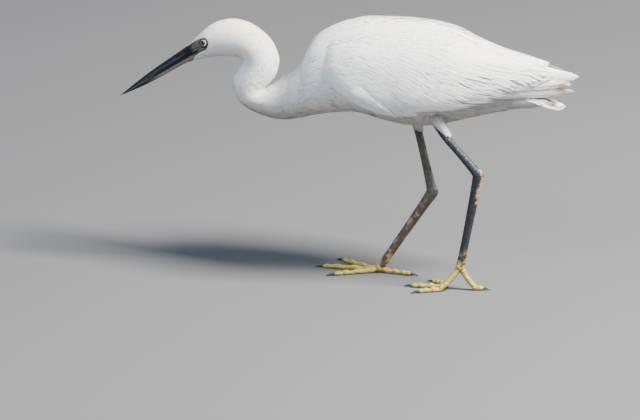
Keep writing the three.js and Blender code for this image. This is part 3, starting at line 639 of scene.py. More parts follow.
def under_wing(u, v):
    """True where the body lies well under a folded wing."""
    place = body_point(u, v)
    x, z = place[..., 0], place[..., 2]
    upper, lower = by_distance(WING_UPPER, x)[..., 1], by_distance(WING_LOWER, x)[..., 1]
    return (x > -4) & (z > lower + 9) & (wing_turn(x, z) > upper + 0.3)


def on_bare_skin(place):
    """True for places on the bare skin of the face, on the base of the bill or on an eye."""
    x, y, z = place[..., 0], place[..., 1], place[..., 2]
    chin = (x < -163.2) & (z < 222)
    eye = from_eye(x, z) < EYE["opening"] + 1.2
    return ((inside(BARE_OUTLINE, x, z) | eye) & (np.abs(y) > 1.5)) | chin


def body_coat(name, u_range, seed):
    """The small feathers over a stretch of the body: tufts that lie towards the tail and a little down the
    sides, and waver together as soft plumage does."""
    draw = np.random.default_rng(seed)
    u, v = scattered(body_point, u_range, (0.0, 1.0), lambda a, b: coat_at(a)[2], draw)
    kept = ~under_wing(u, v)
    u, v = u[kept], v[kept]
    width, length, _, depth = coat_at(u)
    mm_u, mm_v = stretch(body_point, u, v, BODY_STEPS, (2.5, 8))
    place = body_point(u, v)
    sway = 0.14 * ripple(place, 45, seed + 50) + 0.07 * ripple(place, 14, seed + 51)
    sway = sway + draw.normal(0, 0.06, len(u))
    heading = lie(sway, mm_u, mm_v, 0.16 * np.sin(TURN * v) * fade(u, 14, 20))
    length = length * draw.uniform(0.75, 1.25, len(u))
    length = np.minimum(length, (RUMP + 1 - u) * mm_u + 3)
    crossing = np.zeros(len(u), bool)
    for share in (0, 0.5, 1):
        along_u, along_v = heading.T * length * share
        crossing |= on_bare_skin(body_point(u + along_u, v + along_v))
    u, v, heading, length, width, depth, place = (
        column[~crossing] for column in (u, v, heading, length, width, depth, place))
    fluff = 0.22 * depth * ripple(place, 19, 152) + 0.05 * depth * ripple(place, 5, 153)
    lift = (-depth * 0.75, fluff + width * draw.uniform(-0.06, 0.04, len(u)))
    root = np.stack([(u - u_range[0]) / (u_range[1] - u_range[0]), v % 1], -1)
    width = width * draw.uniform(0.8, 1.25, len(u))
    return tuft_piece(name, body_point, u, v, heading, length, width, lift, root, draw)


def neck_wisps(name, seed):
    """Loose feather tips that stand out where the hind neck meets the back."""
    draw = np.random.default_rng(seed)
    count, first, last = 190, 13.0, 17.2
    u, v = draw.uniform(first, last, count), draw.normal(0, 0.05, count)
    mm_u, _ = stretch(body_point, u, v, BODY_STEPS)
    heading = np.stack([1 / mm_u, draw.normal(0, 0.008, count)], -1)
    length = draw.uniform(5, 10, count)
    lift = (np.full(count, -0.8), draw.uniform(0.8, 5.4, count))
    root = np.stack([(u - first) / (last - first), v % 1], -1)
    width = draw.uniform(0.5, 0.9, count)
    return tuft_piece(name, body_point, u, v, heading, length, width, lift, root, draw)


def in_row(places, share):
    """Places part of the way along a bent row that is given by its first, middle and last place: the
    parabola through the three."""
    first, middle, last = (np.array(place, float) for place in places)
    share = np.asarray(share)[:, None]
    weights = (1 - share) * (1 - 2 * share), 4 * share * (1 - share), share * (2 * share - 1)
    return weights[0] * first + weights[1] * middle + weights[2] * last


def wing_row(row, side, draw):
    """One row of a wing's feathers, with the places of their roots and tips on the wing's surface. The
    right wing lies a little under the left one and its tips end sooner."""
    share = np.linspace(0, 1, row["count"])
    root = in_row(row["roots"], share) + draw.normal(0, 0.4, (len(share), 2))
    tip = in_row(row["tips"], share) + draw.normal(0, row["spread"], (len(share), 2)) * (1, 0.3)
    high = fade(tip[:, 1], 226, 234) * (row["spread"] > 1)
    tip[:, 0] -= np.maximum(tip[:, 0] - MANTLE_END, 0) * high
    under = side > 0
    tip[:, 0] -= 9 * fade(tip[:, 0], 150, 225) * under
    return {
        "surface": lambda x, turn, lift: wing_point(x, turn, lift, side),
        "root": np.stack([root[:, 0], wing_turn(root[:, 0], root[:, 1])], -1),
        "tip": np.stack([tip[:, 0], wing_turn(tip[:, 0], tip[:, 1])], -1),
        "half": np.interp(share, (0, 1), row["half"]) * draw.uniform(0.92, 1.08, len(share)),
        "rise": np.array(row["rise"], float)[:, None] - 1.2 * under,
        "layer": row["layer"] * np.arange(len(share)),
        "roll": row["roll"],
        "point": row["point"],
        "wave": draw.uniform(0, TURN, len(share)),
        "facing": side,
        "unwrap": ((-25, 0), (270, math.pi)),
    }


def tail_row(side):
    """One half of the tail: feathers side by side, each lower than the one nearer to the middle."""
    share = np.linspace(0, 1, TAIL["pairs"])
    return {
        "surface": tail_point,
        "root": np.stack([TAIL["root"] + 0 * share, side * (1 + 3.5 * share)], -1),
        "tip": np.stack([TAIL["tip"] - 5 * share**2, side * (1.6 + TAIL["spread"] * share)], -1),
        "half": TAIL["half"] - 0.4 * share,
        "rise": np.array([(-6.0,), (-1.0,), (0.0,), (0.0,)]),
        "layer": -TAIL["layer"] * np.arange(len(share)),
        "roll": side * 0.04,
        "point": 3.2,
        "wave": share * TURN,
        "facing": 1,
        "unwrap": ((140, -25), (90, 50)),
    }


def vane_outline(shares, point):
    """The half width of a vane along its length, as a share of the widest: it opens from the quill as a
    square root and closes towards the tip as a power curve, the higher the power the blunter the tip."""
    opening = np.minimum(1, 0.5 + 0.5 * np.sqrt(np.clip(shares / 0.3, 0, 1)))
    closing = (1 - np.clip((shares - 0.35) / 0.65, 0, 1) ** point) ** 0.6
    return opening * np.maximum(closing, 0.05)


def vane_point(row, feather, s, c, lift):
    """A point of one of a row's feathers: s runs from its root to its tip and c from its upper edge (-1) to
    its lower edge (1). The blade falls away from its shaft by the square of the distance across."""
    root, reach, half = row["root"][feather], (row["tip"] - row["root"])[feather], row["half"][feather]
    x, t = root[..., 0] + reach[..., 0] * s, root[..., 1] + reach[..., 1] * s
    rise = along(row["rise"], s * (len(row["rise"]) - 1))[..., 0] + row["layer"][feather]
    mm_x, mm_t = stretch(lambda a, b: row["surface"](a, b, 0.0), x, t, (0.5, 0.005))
    run = unit(np.stack([reach[..., 0] * mm_x, reach[..., 1] * mm_t], -1))
    width = half * vane_outline(s, row["point"])
    across, lag = c * width, 0.12 * np.abs(c) ** 1.5 * width
    wave = 0.12 * np.sin(TURN * 1.5 * s + row["wave"][feather] + c)
    height = rise + lift + wave + row["roll"] * across - 0.014 * across**2
    at_x = x - (run[..., 1] * across + run[..., 0] * lag) / mm_x
    at_t = t + (run[..., 0] * across - run[..., 1] * lag) / mm_t
    return row["surface"](at_x, at_t, height)


def row_place(row, feather):
    """Where the roots of a row's feathers lie on the unwrap of the surface they follow."""
    (first_x, first_t), (reach_x, reach_t) = row["unwrap"]
    root = row["root"][feather]
    return np.stack([(root[..., 0] - first_x) / reach_x, (root[..., 1] - first_t) / reach_t], -1)


def add_vanes(shell, row, draw):
    """The vanes of one row, as closed thin blades with a raised shaft and slightly torn edges. The barb
    mark counts the fine lines that run out and forward from the shaft."""
    rows, columns = 20, 7
    count = len(row["root"])
    s = np.linspace(0, 1, rows)[:, None]
    c = np.linspace(-1, 1, columns)
    feather = np.arange(count)[:, None, None]
    torn = 1 - 0.05 * draw.random((count, rows, columns)) * s * (np.abs(c) > 0.9)
    slender = 1 - 0.6 * s
    shaft = 0.16 * hump(c, 0, 0.1) * slender
    top = vane_point(row, feather, s + 0 * c, c * torn, shaft)
    under = vane_point(row, feather, s + 0 * c, c * torn, shaft - 0.3 * slender)
    rings = np.concatenate([top, under[:, :, ::-1]], 2)
    reach = s * 40 + np.abs(c) * 9
    barb = np.concatenate([reach, reach[:, ::-1]], 1).ravel()
    spot = np.stack(np.broadcast_arrays(s - 0.5, c / 2), -1)
    spot = np.concatenate([spot, spot[:, ::-1]], 1).reshape(-1, 2)
    spot = np.append(spot, [(-0.5, 0), (0.5, 0)], axis=0) * PATCH
    place = np.clip(row_place(row, np.arange(count)), 0.01, 0.99)
    for index in range(count):
        shell.add(*closed_tube(rings[index]), patch=place[index] + spot, tone=draw.random(), barb=barb)


def add_barbs(shell, row, per_feather, length, draw):
    """Loose barbs on the vanes of one row: tufts that run from near the shaft to past the edge, at a small
    angle to the feather."""
    count = len(row["root"]) * per_feather
    feather = np.repeat(np.arange(len(row["root"])), per_feather)
    half = draw.choice((-1, 1), count)
    s = draw.uniform(0.1, 0.97, count)
    c = half * draw.uniform(0.1, 0.86, count)
    root, tip = (row["surface"](*row[end].T, 0.0) for end in ("root", "tip"))
    feather_length = np.linalg.norm(tip - root, axis=-1)[feather]
    width_here = row["half"][feather] * vane_outline(s, row["point"])
    lean = draw.uniform(0.1, 0.32, count)
    heading = np.stack([np.cos(lean) / feather_length, half * np.sin(lean) / np.maximum(width_here, 1.5)], -1)
    length = length * draw.uniform(0.6, 1.3, count)
    length = np.minimum(length, (0.99 - s) * feather_length)
    lift = (np.full(count, -0.25), draw.uniform(0.05, 0.4, count))
    width = draw.uniform(0.7, 1.15, count)

    def surface(a, b, h):
        return vane_point(row, feather[:, None], a, b, h)

    place = row_place(row, feather)
    shell.add(**tufts(surface, s, c, heading, length, width, lift, place, draw, row["facing"], VANE_STEPS))


def wing_feathers(name, side, seed):
    """One folded wing's feathers: every row's vanes and barbs, from the deepest to the topmost."""
    draw = np.random.default_rng(seed)
    shell = Shell("tone", "barb")
    for row in WING_ROWS.values():
        placed = wing_row(row, side, draw)
        add_vanes(shell, placed, draw)
        add_barbs(shell, placed, *row["barbs"], draw)
    return shell.made(name)


def wing_coat(name, side, seed):
    """The soft small coverts of a folded wing. They rise out of the plumage of the shoulder, lie back and
    down in soft locks, and thin out over the larger feathers behind."""
    draw = np.random.default_rng(seed)

    def surface(a, b, lift=0.0):
        return wing_point(a, b, lift, side)

    def spacing(a, b):
        return np.interp(a, (-30, 60), (1.25, 1.5))

    x, turn = scattered(surface, (-30, 165), (0.1, 2.7), spacing, draw, (400, 200))
    upper = by_distance(WING_UPPER, x)[:, 1]
    lower = wing_turn(x, by_distance(WING_LOWER, x)[:, 1])
    share = (turn - upper) / (lower - upper)
    chance = fade(x, -31, -22) * (1 - 0.9 * fade(x, 30, 130))
    kept = (share > -0.1 - 0.2 * fade(x, 20, -10)) & (share < 0.97) & (draw.random(len(x)) < chance)
    x, turn, share, lower = (column[kept] for column in (x, turn, share, lower))
    _, mm_turn = stretch(surface, x, turn, WING_STEPS, (0, 12))
    place = surface(x, turn)
    down = np.interp(x, (-30, -5, 30, 90, 180), (0.1, 0.42, 0.62, 0.5, 0.3))
    down = down * np.interp(share, (0, 0.25, 0.6, 1), (0.2, 0.65, 1.0, 0.75))
    sway = down + 0.14 * ripple(place, 42, seed) + draw.normal(0, 0.035, len(x))
    length = np.interp(x, (-30, 0, 60, 130, 180), (9, 15, 24, 32, 26)) * draw.uniform(0.75, 1.25, len(x))
    length = np.minimum(length, (lower - turn) * mm_turn / np.maximum(np.sin(sway), 0.08) + 3)
    locks = np.stack([x * np.sin(sway) - share * 60 * np.cos(sway), 0.2 * x, 0 * x], -1)
    tip_lift = np.interp(x, (-30, -22, -12, 0, 20, 80, 180), (-5.6, -3.4, -1.9, -1.1, -0.9, -1.1, -2.6))
    tip_lift = tip_lift + 0.3 * ripple(locks, 9, seed + 1) + draw.normal(0, 0.05, len(x))
    lift = (tip_lift - np.interp(x, (-30, 0), (1.0, 1.6)), tip_lift)
    width = np.interp(x, (-30, 60, 180), (1.4, 1.9, 1.5)) * draw.uniform(0.8, 1.2, len(x))
    root = np.stack([(x + 32) / 275, turn / math.pi], -1)
    heading = lie(sway, 1, mm_turn)
    return tuft_piece(name, surface, x, turn, heading, length, width, lift, root, draw, side, WING_STEPS)


def mantle_plumes(name, seed):
    """The long soft plumes of the back, which lie over both wings and, deeper, between the wing tips."""
    draw = np.random.default_rng(seed)
    x, turn = scattered(wing_point, (-26, 210), (-0.8, 0.8), lambda a, b: 1.9 + 0 * a, draw)
    kept = np.abs(turn) < by_distance(WING_UPPER, x)[:, 1] + 0.22 - 0.1 * draw.random(len(x))
    x, turn = x[kept], turn[kept]
    _, mm_turn = stretch(wing_point, x, turn, WING_STEPS)
    sway = 0.1 * ripple(wing_point(x, turn), 40, seed) + draw.normal(0, 0.05, len(x)) + 0.1 * np.sign(turn)
    length = np.interp(x, (-26, 20, 120, 178), (16, 26, 40, 30)) * draw.uniform(0.7, 1.25, len(x))
    end = np.where(x > 188, BETWEEN_END, MANTLE_END) + draw.normal(0, 1.6, len(x))
    length = np.minimum(length, end - x)
    low = np.interp(x, (-26, -14, 0, 40, 90, 187, 189), (-4.6, -2.9, -2.2, -2.8, -3.2, -2.4, -7.0))
    lift = (low - 1.6, low + draw.uniform(0.1, 0.9, len(x)) + 1.8 * np.abs(turn))
    width = np.interp(x, (-26, 60), (1.5, 2.1)) * draw.uniform(0.75, 1.25, len(x))
    root = np.stack([(x + 30) / 275, (turn + 1) / 2], -1)
    heading = lie(sway, 1, mm_turn)
    return tuft_piece(name, wing_point, x, turn, heading, length, width, lift, root, draw, -1, WING_STEPS)


def tail_feathers(name, seed):
    """The tail's vanes and barbs, one half after the other."""
    draw = np.random.default_rng(seed)
    shell = Shell("tone", "barb")
    for side in (-1, 1):
        row = tail_row(side)
        add_vanes(shell, row, draw)
        add_barbs(shell, row, *TAIL["barbs"], draw)
    return shell.made(name)


def thigh_coat(name, leg, seed):
    """The feathers of a thigh. They taper to a slanting cuff round the bare shank, long behind and short in
    front."""
    draw = np.random.default_rng(seed)

    def surface(a, b, lift=0.0):
        return limb_point(leg["thigh"], a, b, lift)

    u, v = scattered(surface, (0.0, 2.9), (0.0, 1.0), lambda a, b: 1.0 + 0 * a, draw)
    cuff = 2.95 - leg["cuff_slant"] * (1 - np.cos(TURN * v))
    mm_u, mm_v = stretch(surface, u, v, BODY_STEPS, (0, 8))
    left = (cuff - u) * mm_u
    kept = left > 1.5
    u, v, mm_u, mm_v, left = (column[kept] for column in (u, v, mm_u, mm_v, left))
    sway = draw.normal(0, 0.08, len(u)) + 0.12 * np.sin(TURN * v)
    length = np.minimum(13 * draw.uniform(0.7, 1.2, len(u)), left + draw.uniform(-1.5, 2.5, len(u)))
    lift = (-1.2 + 0 * u, draw.uniform(-0.3, 0.3, len(u)) - 0.8 * fade(left, 8, 1))
    width = draw.uniform(0.9, 1.4, len(u))
    root = np.stack([u / 3, v % 1], -1)
    return tuft_piece(name, surface, u, v, lie(sway, mm_u, mm_v), length, width, lift, root, draw)


# Skin


def skin_tube():
    """The skin from the face to the rump, as deep under the coat as the coat is thick, with hollows for the
    eyes and for the bare skin of the face."""
    rows, columns = 300, 84
    u, v = np.meshgrid(np.linspace(FACE + 0.75, RUMP, rows), np.arange(columns) / columns, indexing="ij")
    place = body_point(u, v)
    x, z = place[..., 0], place[..., 2]
    socket = 3.5 * (1 - fade(from_eye(x, z), 3.4, 5.0))
    bare = 0.7 * inside(BARE_OUTLINE, x, z)
    return body_point(u, v, -coat_at(u)[3] - socket - bare)


def arm_sheet(side):
    """The flesh of a folded wing under its feathers: a closed thin sheet between the wing's two edges."""
    x, share = np.meshgrid(np.linspace(-17, 133, 40), np.linspace(0.03, 0.97, 24), indexing="ij")
    depth = np.interp(x, (-18, 10, 60, 132), (-5.2, -4.0, -5.5, -7.5))
    outer, inner = (covert_point(x, share, depth - thickness, side) for thickness in (0, 2))
    return closed_tube(np.concatenate([outer, inner[:, ::-1]], 1))


def thigh_skin(leg):
    """The skin of a thigh, a tube from inside the belly to the top of the bare shank."""
    v = np.arange(32) / 32
    end = 2.6 - leg["cuff_slant"] * (1 - np.cos(TURN * v))
    u = np.linspace(0, 1, 40)[:, None] * end
    return closed_tube(limb_point(leg["thigh"], u, v + 0 * u, -1.1 - 1.5 * fade(u, end - 0.6, end)))


def build_skin():
    """The one skin of the bird, with the flesh of both wings and both thighs in the same mesh."""
    shell = Shell("tone", "barb")
    shell.add_tube(skin_tube(), tone=0.5)
    for leg in LEGS.values():
        shell.add(*arm_sheet(leg["side"]), tone=0.5)
        shell.add(*thigh_skin(leg), tone=0.5)
    return shell.made("skin")


def bare_skin(name, side):
    """The bare skin from the bill to the eye: a closed sheet on the side of the head, sunk behind the
    eyeball, swollen round the lids, and creased along the end of the mouth; with a rolled rim for the
    lids."""
    t = np.linspace(0, 5, 110)[:, None]
    s = np.linspace(0, 1, 64)[None, :]
    upper, lower = along(BARE_UPPER, t), along(BARE_LOWER, t)
    x = upper[..., 0] + (lower - upper)[..., 0] * s
    z = upper[..., 1] + (lower - upper)[..., 1] * s
    away = from_eye(x, z)
    gape = line_distance(GAPE, x, z)
    rim = np.minimum(fade(s, 0, 0.1), fade(1 - s, 0, 0.1)) * fade(5 - t, 0, 0.3) * fade(t, 0.1, 1.0)
    crease = hump(gape, 0, 0.45)
    fold = hump(gape, 2.4, 0.4) * fade(EYE["x"] - 4 - x, 0, 3)
    ring = np.sin(2.2 * (away - 5.5)) * (away < 9.5) * (1 - fade(away, 7, 9.5))
    wrinkle = 0.07 * ripple(np.stack([x, 0 * x, z * 1.6], -1), 2.2, 5) + 0.08 * ring
    swell = 0.5 * hump(away, 5.8, 0.9)
    lip = 0.3 * hump(gape, 1.2, 0.6)
    sunk = 5 * (1 - fade(away, 3.2, 5.0))
    lift = (0.3 + wrinkle + swell + lip - 0.6 * crease - 0.3 * fold) * rim - 0.45 * (1 - rim) - sunk
    lift = lift - 1.3 * (1 - fade(t, 0.0, 1.1))
    y = side_of_head(x, z)
    outer = np.stack([x, side * (y + lift), z], -1)
    inner = np.stack([x, side * (y + np.minimum(lift, 0) - 1.5), z], -1)
    lid = 4.7 + 0.5 * fade(x - EYE["x"], -2, 4)
    marks = {
        # Painted shade in the mouth crease and in the fold in front of the eye, and the lids' own dark edges.
        "dark": np.maximum(np.maximum(crease, 0.5 * fold), 0.9 * (1 - fade(away, lid, lid + 0.9))),
        "pale": 0.6 * hump(gape, 1.3, 0.45) * fade(EYE["x"] - x, 5, 8) * fade(t, 1.2, 2.2),
        "flesh": fade(-gape, 1.8, 2.8) * (1 - fade(x, -160, -156)),
        "horn": np.maximum(
            (1 - fade(x + 0.5 * (z - 228), -163.5, -157.5)) * fade(gape, -2.6, -1.8),
            hump(gape, -0.9, 1.3) * (1 - fade(x, -157, -153))),
    }
    shell = Shell(*marks)
    both_faces = {mark: np.concatenate([values, values[:, ::-1]], 1) for mark, values in marks.items()}
    shell.add_tube(np.concatenate([outer, inner[:, ::-1]], 1), **both_faces)
    shell.add(*lid_rim(side), dark=0.9)
    return shell.made(name)


def eye_frame(side):
    """The middle of an eyeball and three square directions: out of it, and back and up across its
    opening."""
    turn, tilt = EYE["turn"], EYE["tilt"]
    back = np.array([math.cos(turn), side * math.sin(turn), 0])
    level = np.array([-math.sin(turn), side * math.cos(turn), 0])
    above = np.array([0, 0, 1])
    out = level * math.cos(tilt) + above * math.sin(tilt)
    up = above * math.cos(tilt) - level * math.sin(tilt)
    sunk = math.sqrt(EYE["radius"] ** 2 - EYE["opening"] ** 2)
    return np.array([EYE["x"], side * EYE["y"], EYE["z"]]) - sunk * out, out, back, up


def lid_rim(side):
    """The rolled edges of both lids: a ring that rests on the eyeball, drawn out a little to the front and
    rear corners and thicker above."""
    rows, columns = 72, 14
    a = np.arange(rows)[:, None] / rows * TURN
    b = np.arange(columns)[None, :] / columns * TURN
    reach = EYE["opening"] * (1 + 0.07 * np.cos(2 * a) + 0.02 * np.cos(a)) + 0 * b
    thick = 0.56 + 0.1 * np.maximum(np.sin(a), 0) + 0.1 * np.maximum(np.cos(a), 0) + 0.03 * np.sin(7 * a)
    around = (reach + thick * np.cos(b))[..., None]
    height = (np.sqrt(EYE["radius"] ** 2 - reach**2) + 0.15 + thick * np.sin(b))[..., None]
    middle, out, back, up = eye_frame(side)
    points = middle + height * out + around * (np.cos(a)[..., None] * back + np.sin(a)[..., None] * up)
    return turned_out(points.reshape(-1, 3), grid_faces(rows, columns, True), np.zeros((0, 3), int))


def eyeball(name, side):
    """An eyeball with a slightly domed front. Its marks hold the angle from the middle of the pupil and the
    rays round it, which are three sine waves added up."""
    rows, columns = 64, 64
    a = np.linspace(0.01, math.pi - 0.01, rows)[:, None]
    b = np.arange(columns)[None, :] / columns * TURN
    radius = EYE["radius"] + 0.35 * hump(a, 0, 0.5)
    middle, gaze, back, up = eye_frame(side)
    across = back * np.cos(b)[..., None] + up * np.sin(b)[..., None]
    ball = gaze * np.cos(a)[..., None] + np.sin(a)[..., None] * across
    angle = a + 0 * b
    rays = np.sin(9 * b) + np.sin(23 * b + 1) + np.sin(41 * b + 2) + 0 * a
    shell = Shell("from_pupil", "around")
    poles = ((0, math.pi), (0, 0))
    angle, rays = (np.append(values, ends) for values, ends in zip((angle, rays), poles))
    shell.add_tube(middle + radius[..., None] * ball, from_pupil=angle, around=rays)
    return shell.made(name)


# Bill


def bill_half(name, upper):
    """One half of the bill: rings along it, each a rounded arch between the mouth line and the ridge or the
    keel, closed by the flat of the mouth. The upper half has a groove with the nostril in it on each side,
    and the lower half is parted underneath near the face."""
    rows, columns, flat = 190, 45, 7
    t = np.linspace(-0.12, 0.99, rows)[:, None]
    high, low, tip = np.array(BODY[0, :2]), np.array(BODY[0, 2:4]), np.array(BILL["tip"])
    corner = low + BILL["corner_share"] * (high - low)
    mouth = corner + (tip - (0, 0.2) - corner) * t
    half = BILL["half"] * (1.0 - t.clip(0, 1)) ** 0.8
    turn = np.linspace(0, math.pi, columns)[None, :]
    side = np.sign(np.cos(turn)) * np.abs(np.cos(turn)) ** 0.82
    arch = np.abs(np.sin(turn)) ** 0.95 + 0 * t
    outward = 1 if upper else -1
    base = (high if upper else low) + ((0, -0.4) if upper else (0, 0.6))
    end = base + (tip - base) * t + outward * BILL["bow"] * np.sin(math.pi * t.clip(0, 1) ** 1.25) * (0, 1)
    if upper:
        y = (half - 0.5 * hump(arch, 0.42, 0.16) * (1 - fade(t, 0.25, 0.6))) * side
    else:
        arch = arch * (1 - 0.3 * (1 - fade(t, 0.2, 0.5)) * hump(side, 0, 0.3))
        y = 0.94 * half * side
    gap = 0.12 * outward
    roof = (0.25 if upper else -0.15) * half
    place = mouth[:, None, :] + (end - mouth)[:, None, :] * arch[..., None] + np.array([0, gap])
    heading = unit(tip - corner)
    above = np.array([heading[1], -heading[0]])
    run, height = (place - corner) @ heading, (place - corner) @ above
    nostril_run, nostril_height = BILL["nostril_at"]
    nostril = hump(run, nostril_run, 3.4, 4) * hump(height, nostril_height, 0.55)
    nostril = nostril * (np.abs(side) > 0.4) * upper
    outer = np.stack([place[..., 0], y - np.sign(side) * 0.9 * nostril, place[..., 1]], -1)
    across = np.linspace(-1, 1, flat + 2)[None, 1:-1]
    inner_y = -0.94 * half * across
    inner = mouth[:, None, :] + np.stack([0 * inner_y, gap + roof * (1 - across**2) * 0.5], -1)
    inner = np.stack([inner[..., 0], inner_y, inner[..., 1]], -1)
    share = t + 0 * arch
    marks = {
        # A painted highlight: a bluish sheen along the side of the upper half, nearer the face.
        "painted_sheen": hump(arch, 0.42, 0.13) * fade(share, 0.0, 0.1) * (1 - fade(share, 0.45, 0.85)) * upper,
        "flesh": fade(arch, 0.22, 0.45) * (1 - fade(share, 0.38, 0.66)) * (not upper),
        "edge": (1 - fade(arch, 0.05, 0.2)) * fade(share, 0.35, 0.8),
        # Painted shade: the nostrils' dents are coloured as dark as the shade inside their openings.
        "nostril_shade": nostril,
    }
    shell = Shell(*marks)
    none = np.zeros((rows, flat))
    marks = {mark: np.concatenate([values, none], 1) for mark, values in marks.items()}
    shell.add_tube(np.concatenate([outer, inner], 1), **marks)
    return shell.made(name)


# Legs and feet


def scaly_tube(stops, columns, step, pitch, height, plates_at=0.0):
    """A tube along a limb with overlapping plates on one side of it. Each plate rises by the square of the
    share of its length and drops at its end. Returns the rings and the seams between plates."""
    stops = np.asarray(stops, float)
    lengths = np.linalg.norm(np.diff(stops[:, :3], axis=0), axis=1)
    run = np.linspace(0, lengths.sum(), int(lengths.sum() / step))[:, None]
    u = np.interp(run, np.append(0, np.cumsum(lengths)), np.arange(len(stops)))
    v = np.arange(columns)[None, :] / columns
    plated = fade(np.cos(TURN * (v - plates_at)) + 0 * run, -0.1, 0.4)
    share = (run / pitch) % 1
    lift = height * (share**2 - fade(share, 0.86, 1.0)) * plated
    seams = plated * (fade(share, 0.8, 0.95) + 1 - fade(share, 0.0, 0.12)).clip(0, 1)
    return limb_point(stops, u + 0 * v, v + 0 * u, lift), seams


def between(start, end, share):
    """A place part of the way from one to another."""
    return tuple(start + (end - start) * share)


def leg_skin(name, leg):
    """The bare shank, the ankle and the tarsus as overlapping closed tubes, with plates in front of the
    shank and behind the tarsus. Its marks are a pale line behind the ankle, on the left leg the skin's own
    ochre patch and on the right a painted highlight, mud on the tarsus and the colour of the foot below."""
    top, cuff, ankle, knuckle = (np.array(leg[key], float) for key in ("top", "cuff", "ankle", "knuckle"))
    shank = [
        (*top, 3.4, 3.2), (*cuff, 3.9, 3.4), (*between(cuff, ankle, 0.45), 4.0, 3.4),
        (*between(cuff, ankle, 0.85), 4.8, 3.9), (*ankle, 5.9, 4.6),
        (*(ankle + unit(ankle - cuff) * 3.5), 3.8, 3.3),
    ]
    tarsus = [
        (*between(ankle, knuckle, -0.035), 3.8, 3.3), (*ankle, 5.8, 4.5),
        (*between(ankle, knuckle, 0.1), 5.3, 4.2), (*between(ankle, knuckle, 0.3), 4.7, 3.7),
        (*between(ankle, knuckle, 0.65), 4.1, 3.3), (*between(ankle, knuckle, 0.88), 4.1, 3.5),
        (*knuckle, 4.6, 4.2),
    ]
    behind = ankle[[0, 2]] + np.array(leg["heel"])
    shell = Shell("seam", "heel", "mud", "foot")
    for stops, pitch, below in ((shank, 2.6, 0), (tarsus, 3.4, 1)):
        rings, seams = scaly_tube(stops, 30, 0.4, pitch, 0.3, plates_at=0.5)
        x, z = rings[..., 0], rings[..., 2]
        # The pale line behind the ankle: the skin's own ochre patch on the left leg, a painted highlight on
        # the right.
        heel = 1 - fade(np.abs(line_distance(behind, x, z)), 1.2, 3.8)
        mud = (1 - fade(z, ankle[2] - 12, ankle[2] + 2)) * below
        foot = (1 - fade(z, knuckle[2] + 3, knuckle[2] + 22)) * below
        shell.add_tube(rings, seam=seams, heel=heel, mud=mud, foot=foot)
    return shell.made(name)


def toe_stops(knuckle, degrees, length):
    """A toe's path: it comes down from the knuckle in an arc and lies along the ground, swollen at its
    joints and tapering to the claw. Returns the stops of the toe and of the claw."""
    turn = math.radians(degrees)
    rest = TOE_RADIUS * 1.02
    drop = knuckle[2] - rest
    flat_from = max(min(drop * 0.9, length * 0.4), 8)
    flat = max(length - math.hypot(drop, flat_from), 8)

    def stop(run, height, depth, width):
        return knuckle[0] - math.cos(turn) * run, knuckle[1] + math.sin(turn) * run, height, depth, width

    halfway = (flat_from * 0.5, rest + drop * 0.45, 2.7)
    places = [(0, knuckle[2], 3.2), halfway, (flat_from, rest + drop * 0.04, rest)]
    for share, size in TOE_SHAPE:
        places.append((flat_from + flat * share, TOE_RADIUS * size, TOE_RADIUS * size))
    toe = [stop(run, height, radius, radius * 0.94) for run, height, radius in places]
    claw = [stop(flat_from + flat + run, height, radius, radius * 0.8) for run, height, radius in CLAW_SHAPE]
    return toe, claw


def foot_skin(name, leg):
    """The foot: a rounded knuckle and four toes with plates above, in one mesh. The knuckle's tube leans by
    a hair, because an upright one has no side of its own."""
    shell = Shell("seam")
    x, y, z = leg["knuckle"]
    pad = [
        (x, y, z + 5, 2.8, 2.6), (x, y, z + 2, 4.6, 4.2),
        (x + 0.01, y, z - 1.5, 4.4, 4.2), (x + 0.01, y, z - 4.2, 1.6, 1.6),
    ]
    shell.add_tube(scaly_tube(pad, 24, 0.5, 3, 0.0)[0])
    for toe_name, degrees in leg["toes"].items():
        toe, _ = toe_stops(leg["knuckle"], degrees, TOE_LENGTHS[toe_name])
        rings, seams = scaly_tube(toe, 24, 0.3, 2.4, 0.3)
        shell.add_tube(rings, seam=seams)
    return shell.made(name)


def claws(name, leg):
    """The four claws of a foot, each a curved tapering tube."""
    shell = Shell()
    for toe_name, degrees in leg["toes"].items():
        _, claw = toe_stops(leg["knuckle"], degrees, TOE_LENGTHS[toe_name])
        shell.add_tube(scaly_tube(claw, 18, 0.3, 5, 0.0)[0])
    return shell.made(name)


# Finishes

NUMBER, VECTOR, COLOUR = "NodeSocketFloat", "NodeSocketVector", "NodeSocketColor"


def new_material(name):
    """A material with a Principled shader joined to its output."""
    material = bpy.data.materials.new(name)
    material.use_nodes = True
    tree = material.node_tree
    return material, tree, tree.nodes["Principled BSDF"]


def give(tree, socket, value):
    """Join a socket to another node's output, or set it to a value."""
    if isinstance(value, bpy.types.NodeSocket):
        tree.links.new(value, socket)
    else:
        socket.default_value = value


def node(tree, kind, inputs=None, **settings):
    """A node of a kind with its settings made and its inputs given values or joined to other nodes'
    outputs."""
    made = tree.nodes.new(kind)
    for key, value in settings.items():
        setattr(made, key, value)
    for key, value in (inputs or {}).items():
        give(tree, made.inputs[key], value)
    return made


def mixed(tree, factor, first, second, blend="MIX"):
    """The output of a colour mix."""
    mix = node(tree, "ShaderNodeMix", {0: factor, 6: first, 7: second}, data_type="RGBA", blend_type=blend)
    return mix.outputs[2]


def calculated(tree, operation, first, second=0.0, clamp=False):
    """The output of a sum with two values."""
    inputs = {0: first, 1: second}
    return node(tree, "ShaderNodeMath", inputs, operation=operation, use_clamp=clamp).outputs[0]


def noise(tree, place, scale, detail):
    """The output of a noise texture over places."""
    inputs = {"Vector": place, "Scale": scale, "Detail": detail}
    return node(tree, "ShaderNodeTexNoise", inputs).outputs["Fac"]


def own_place(tree):
    """Places in the part's own frame, in metres."""
    return node(tree, "ShaderNodeTexCoord").outputs["Object"]


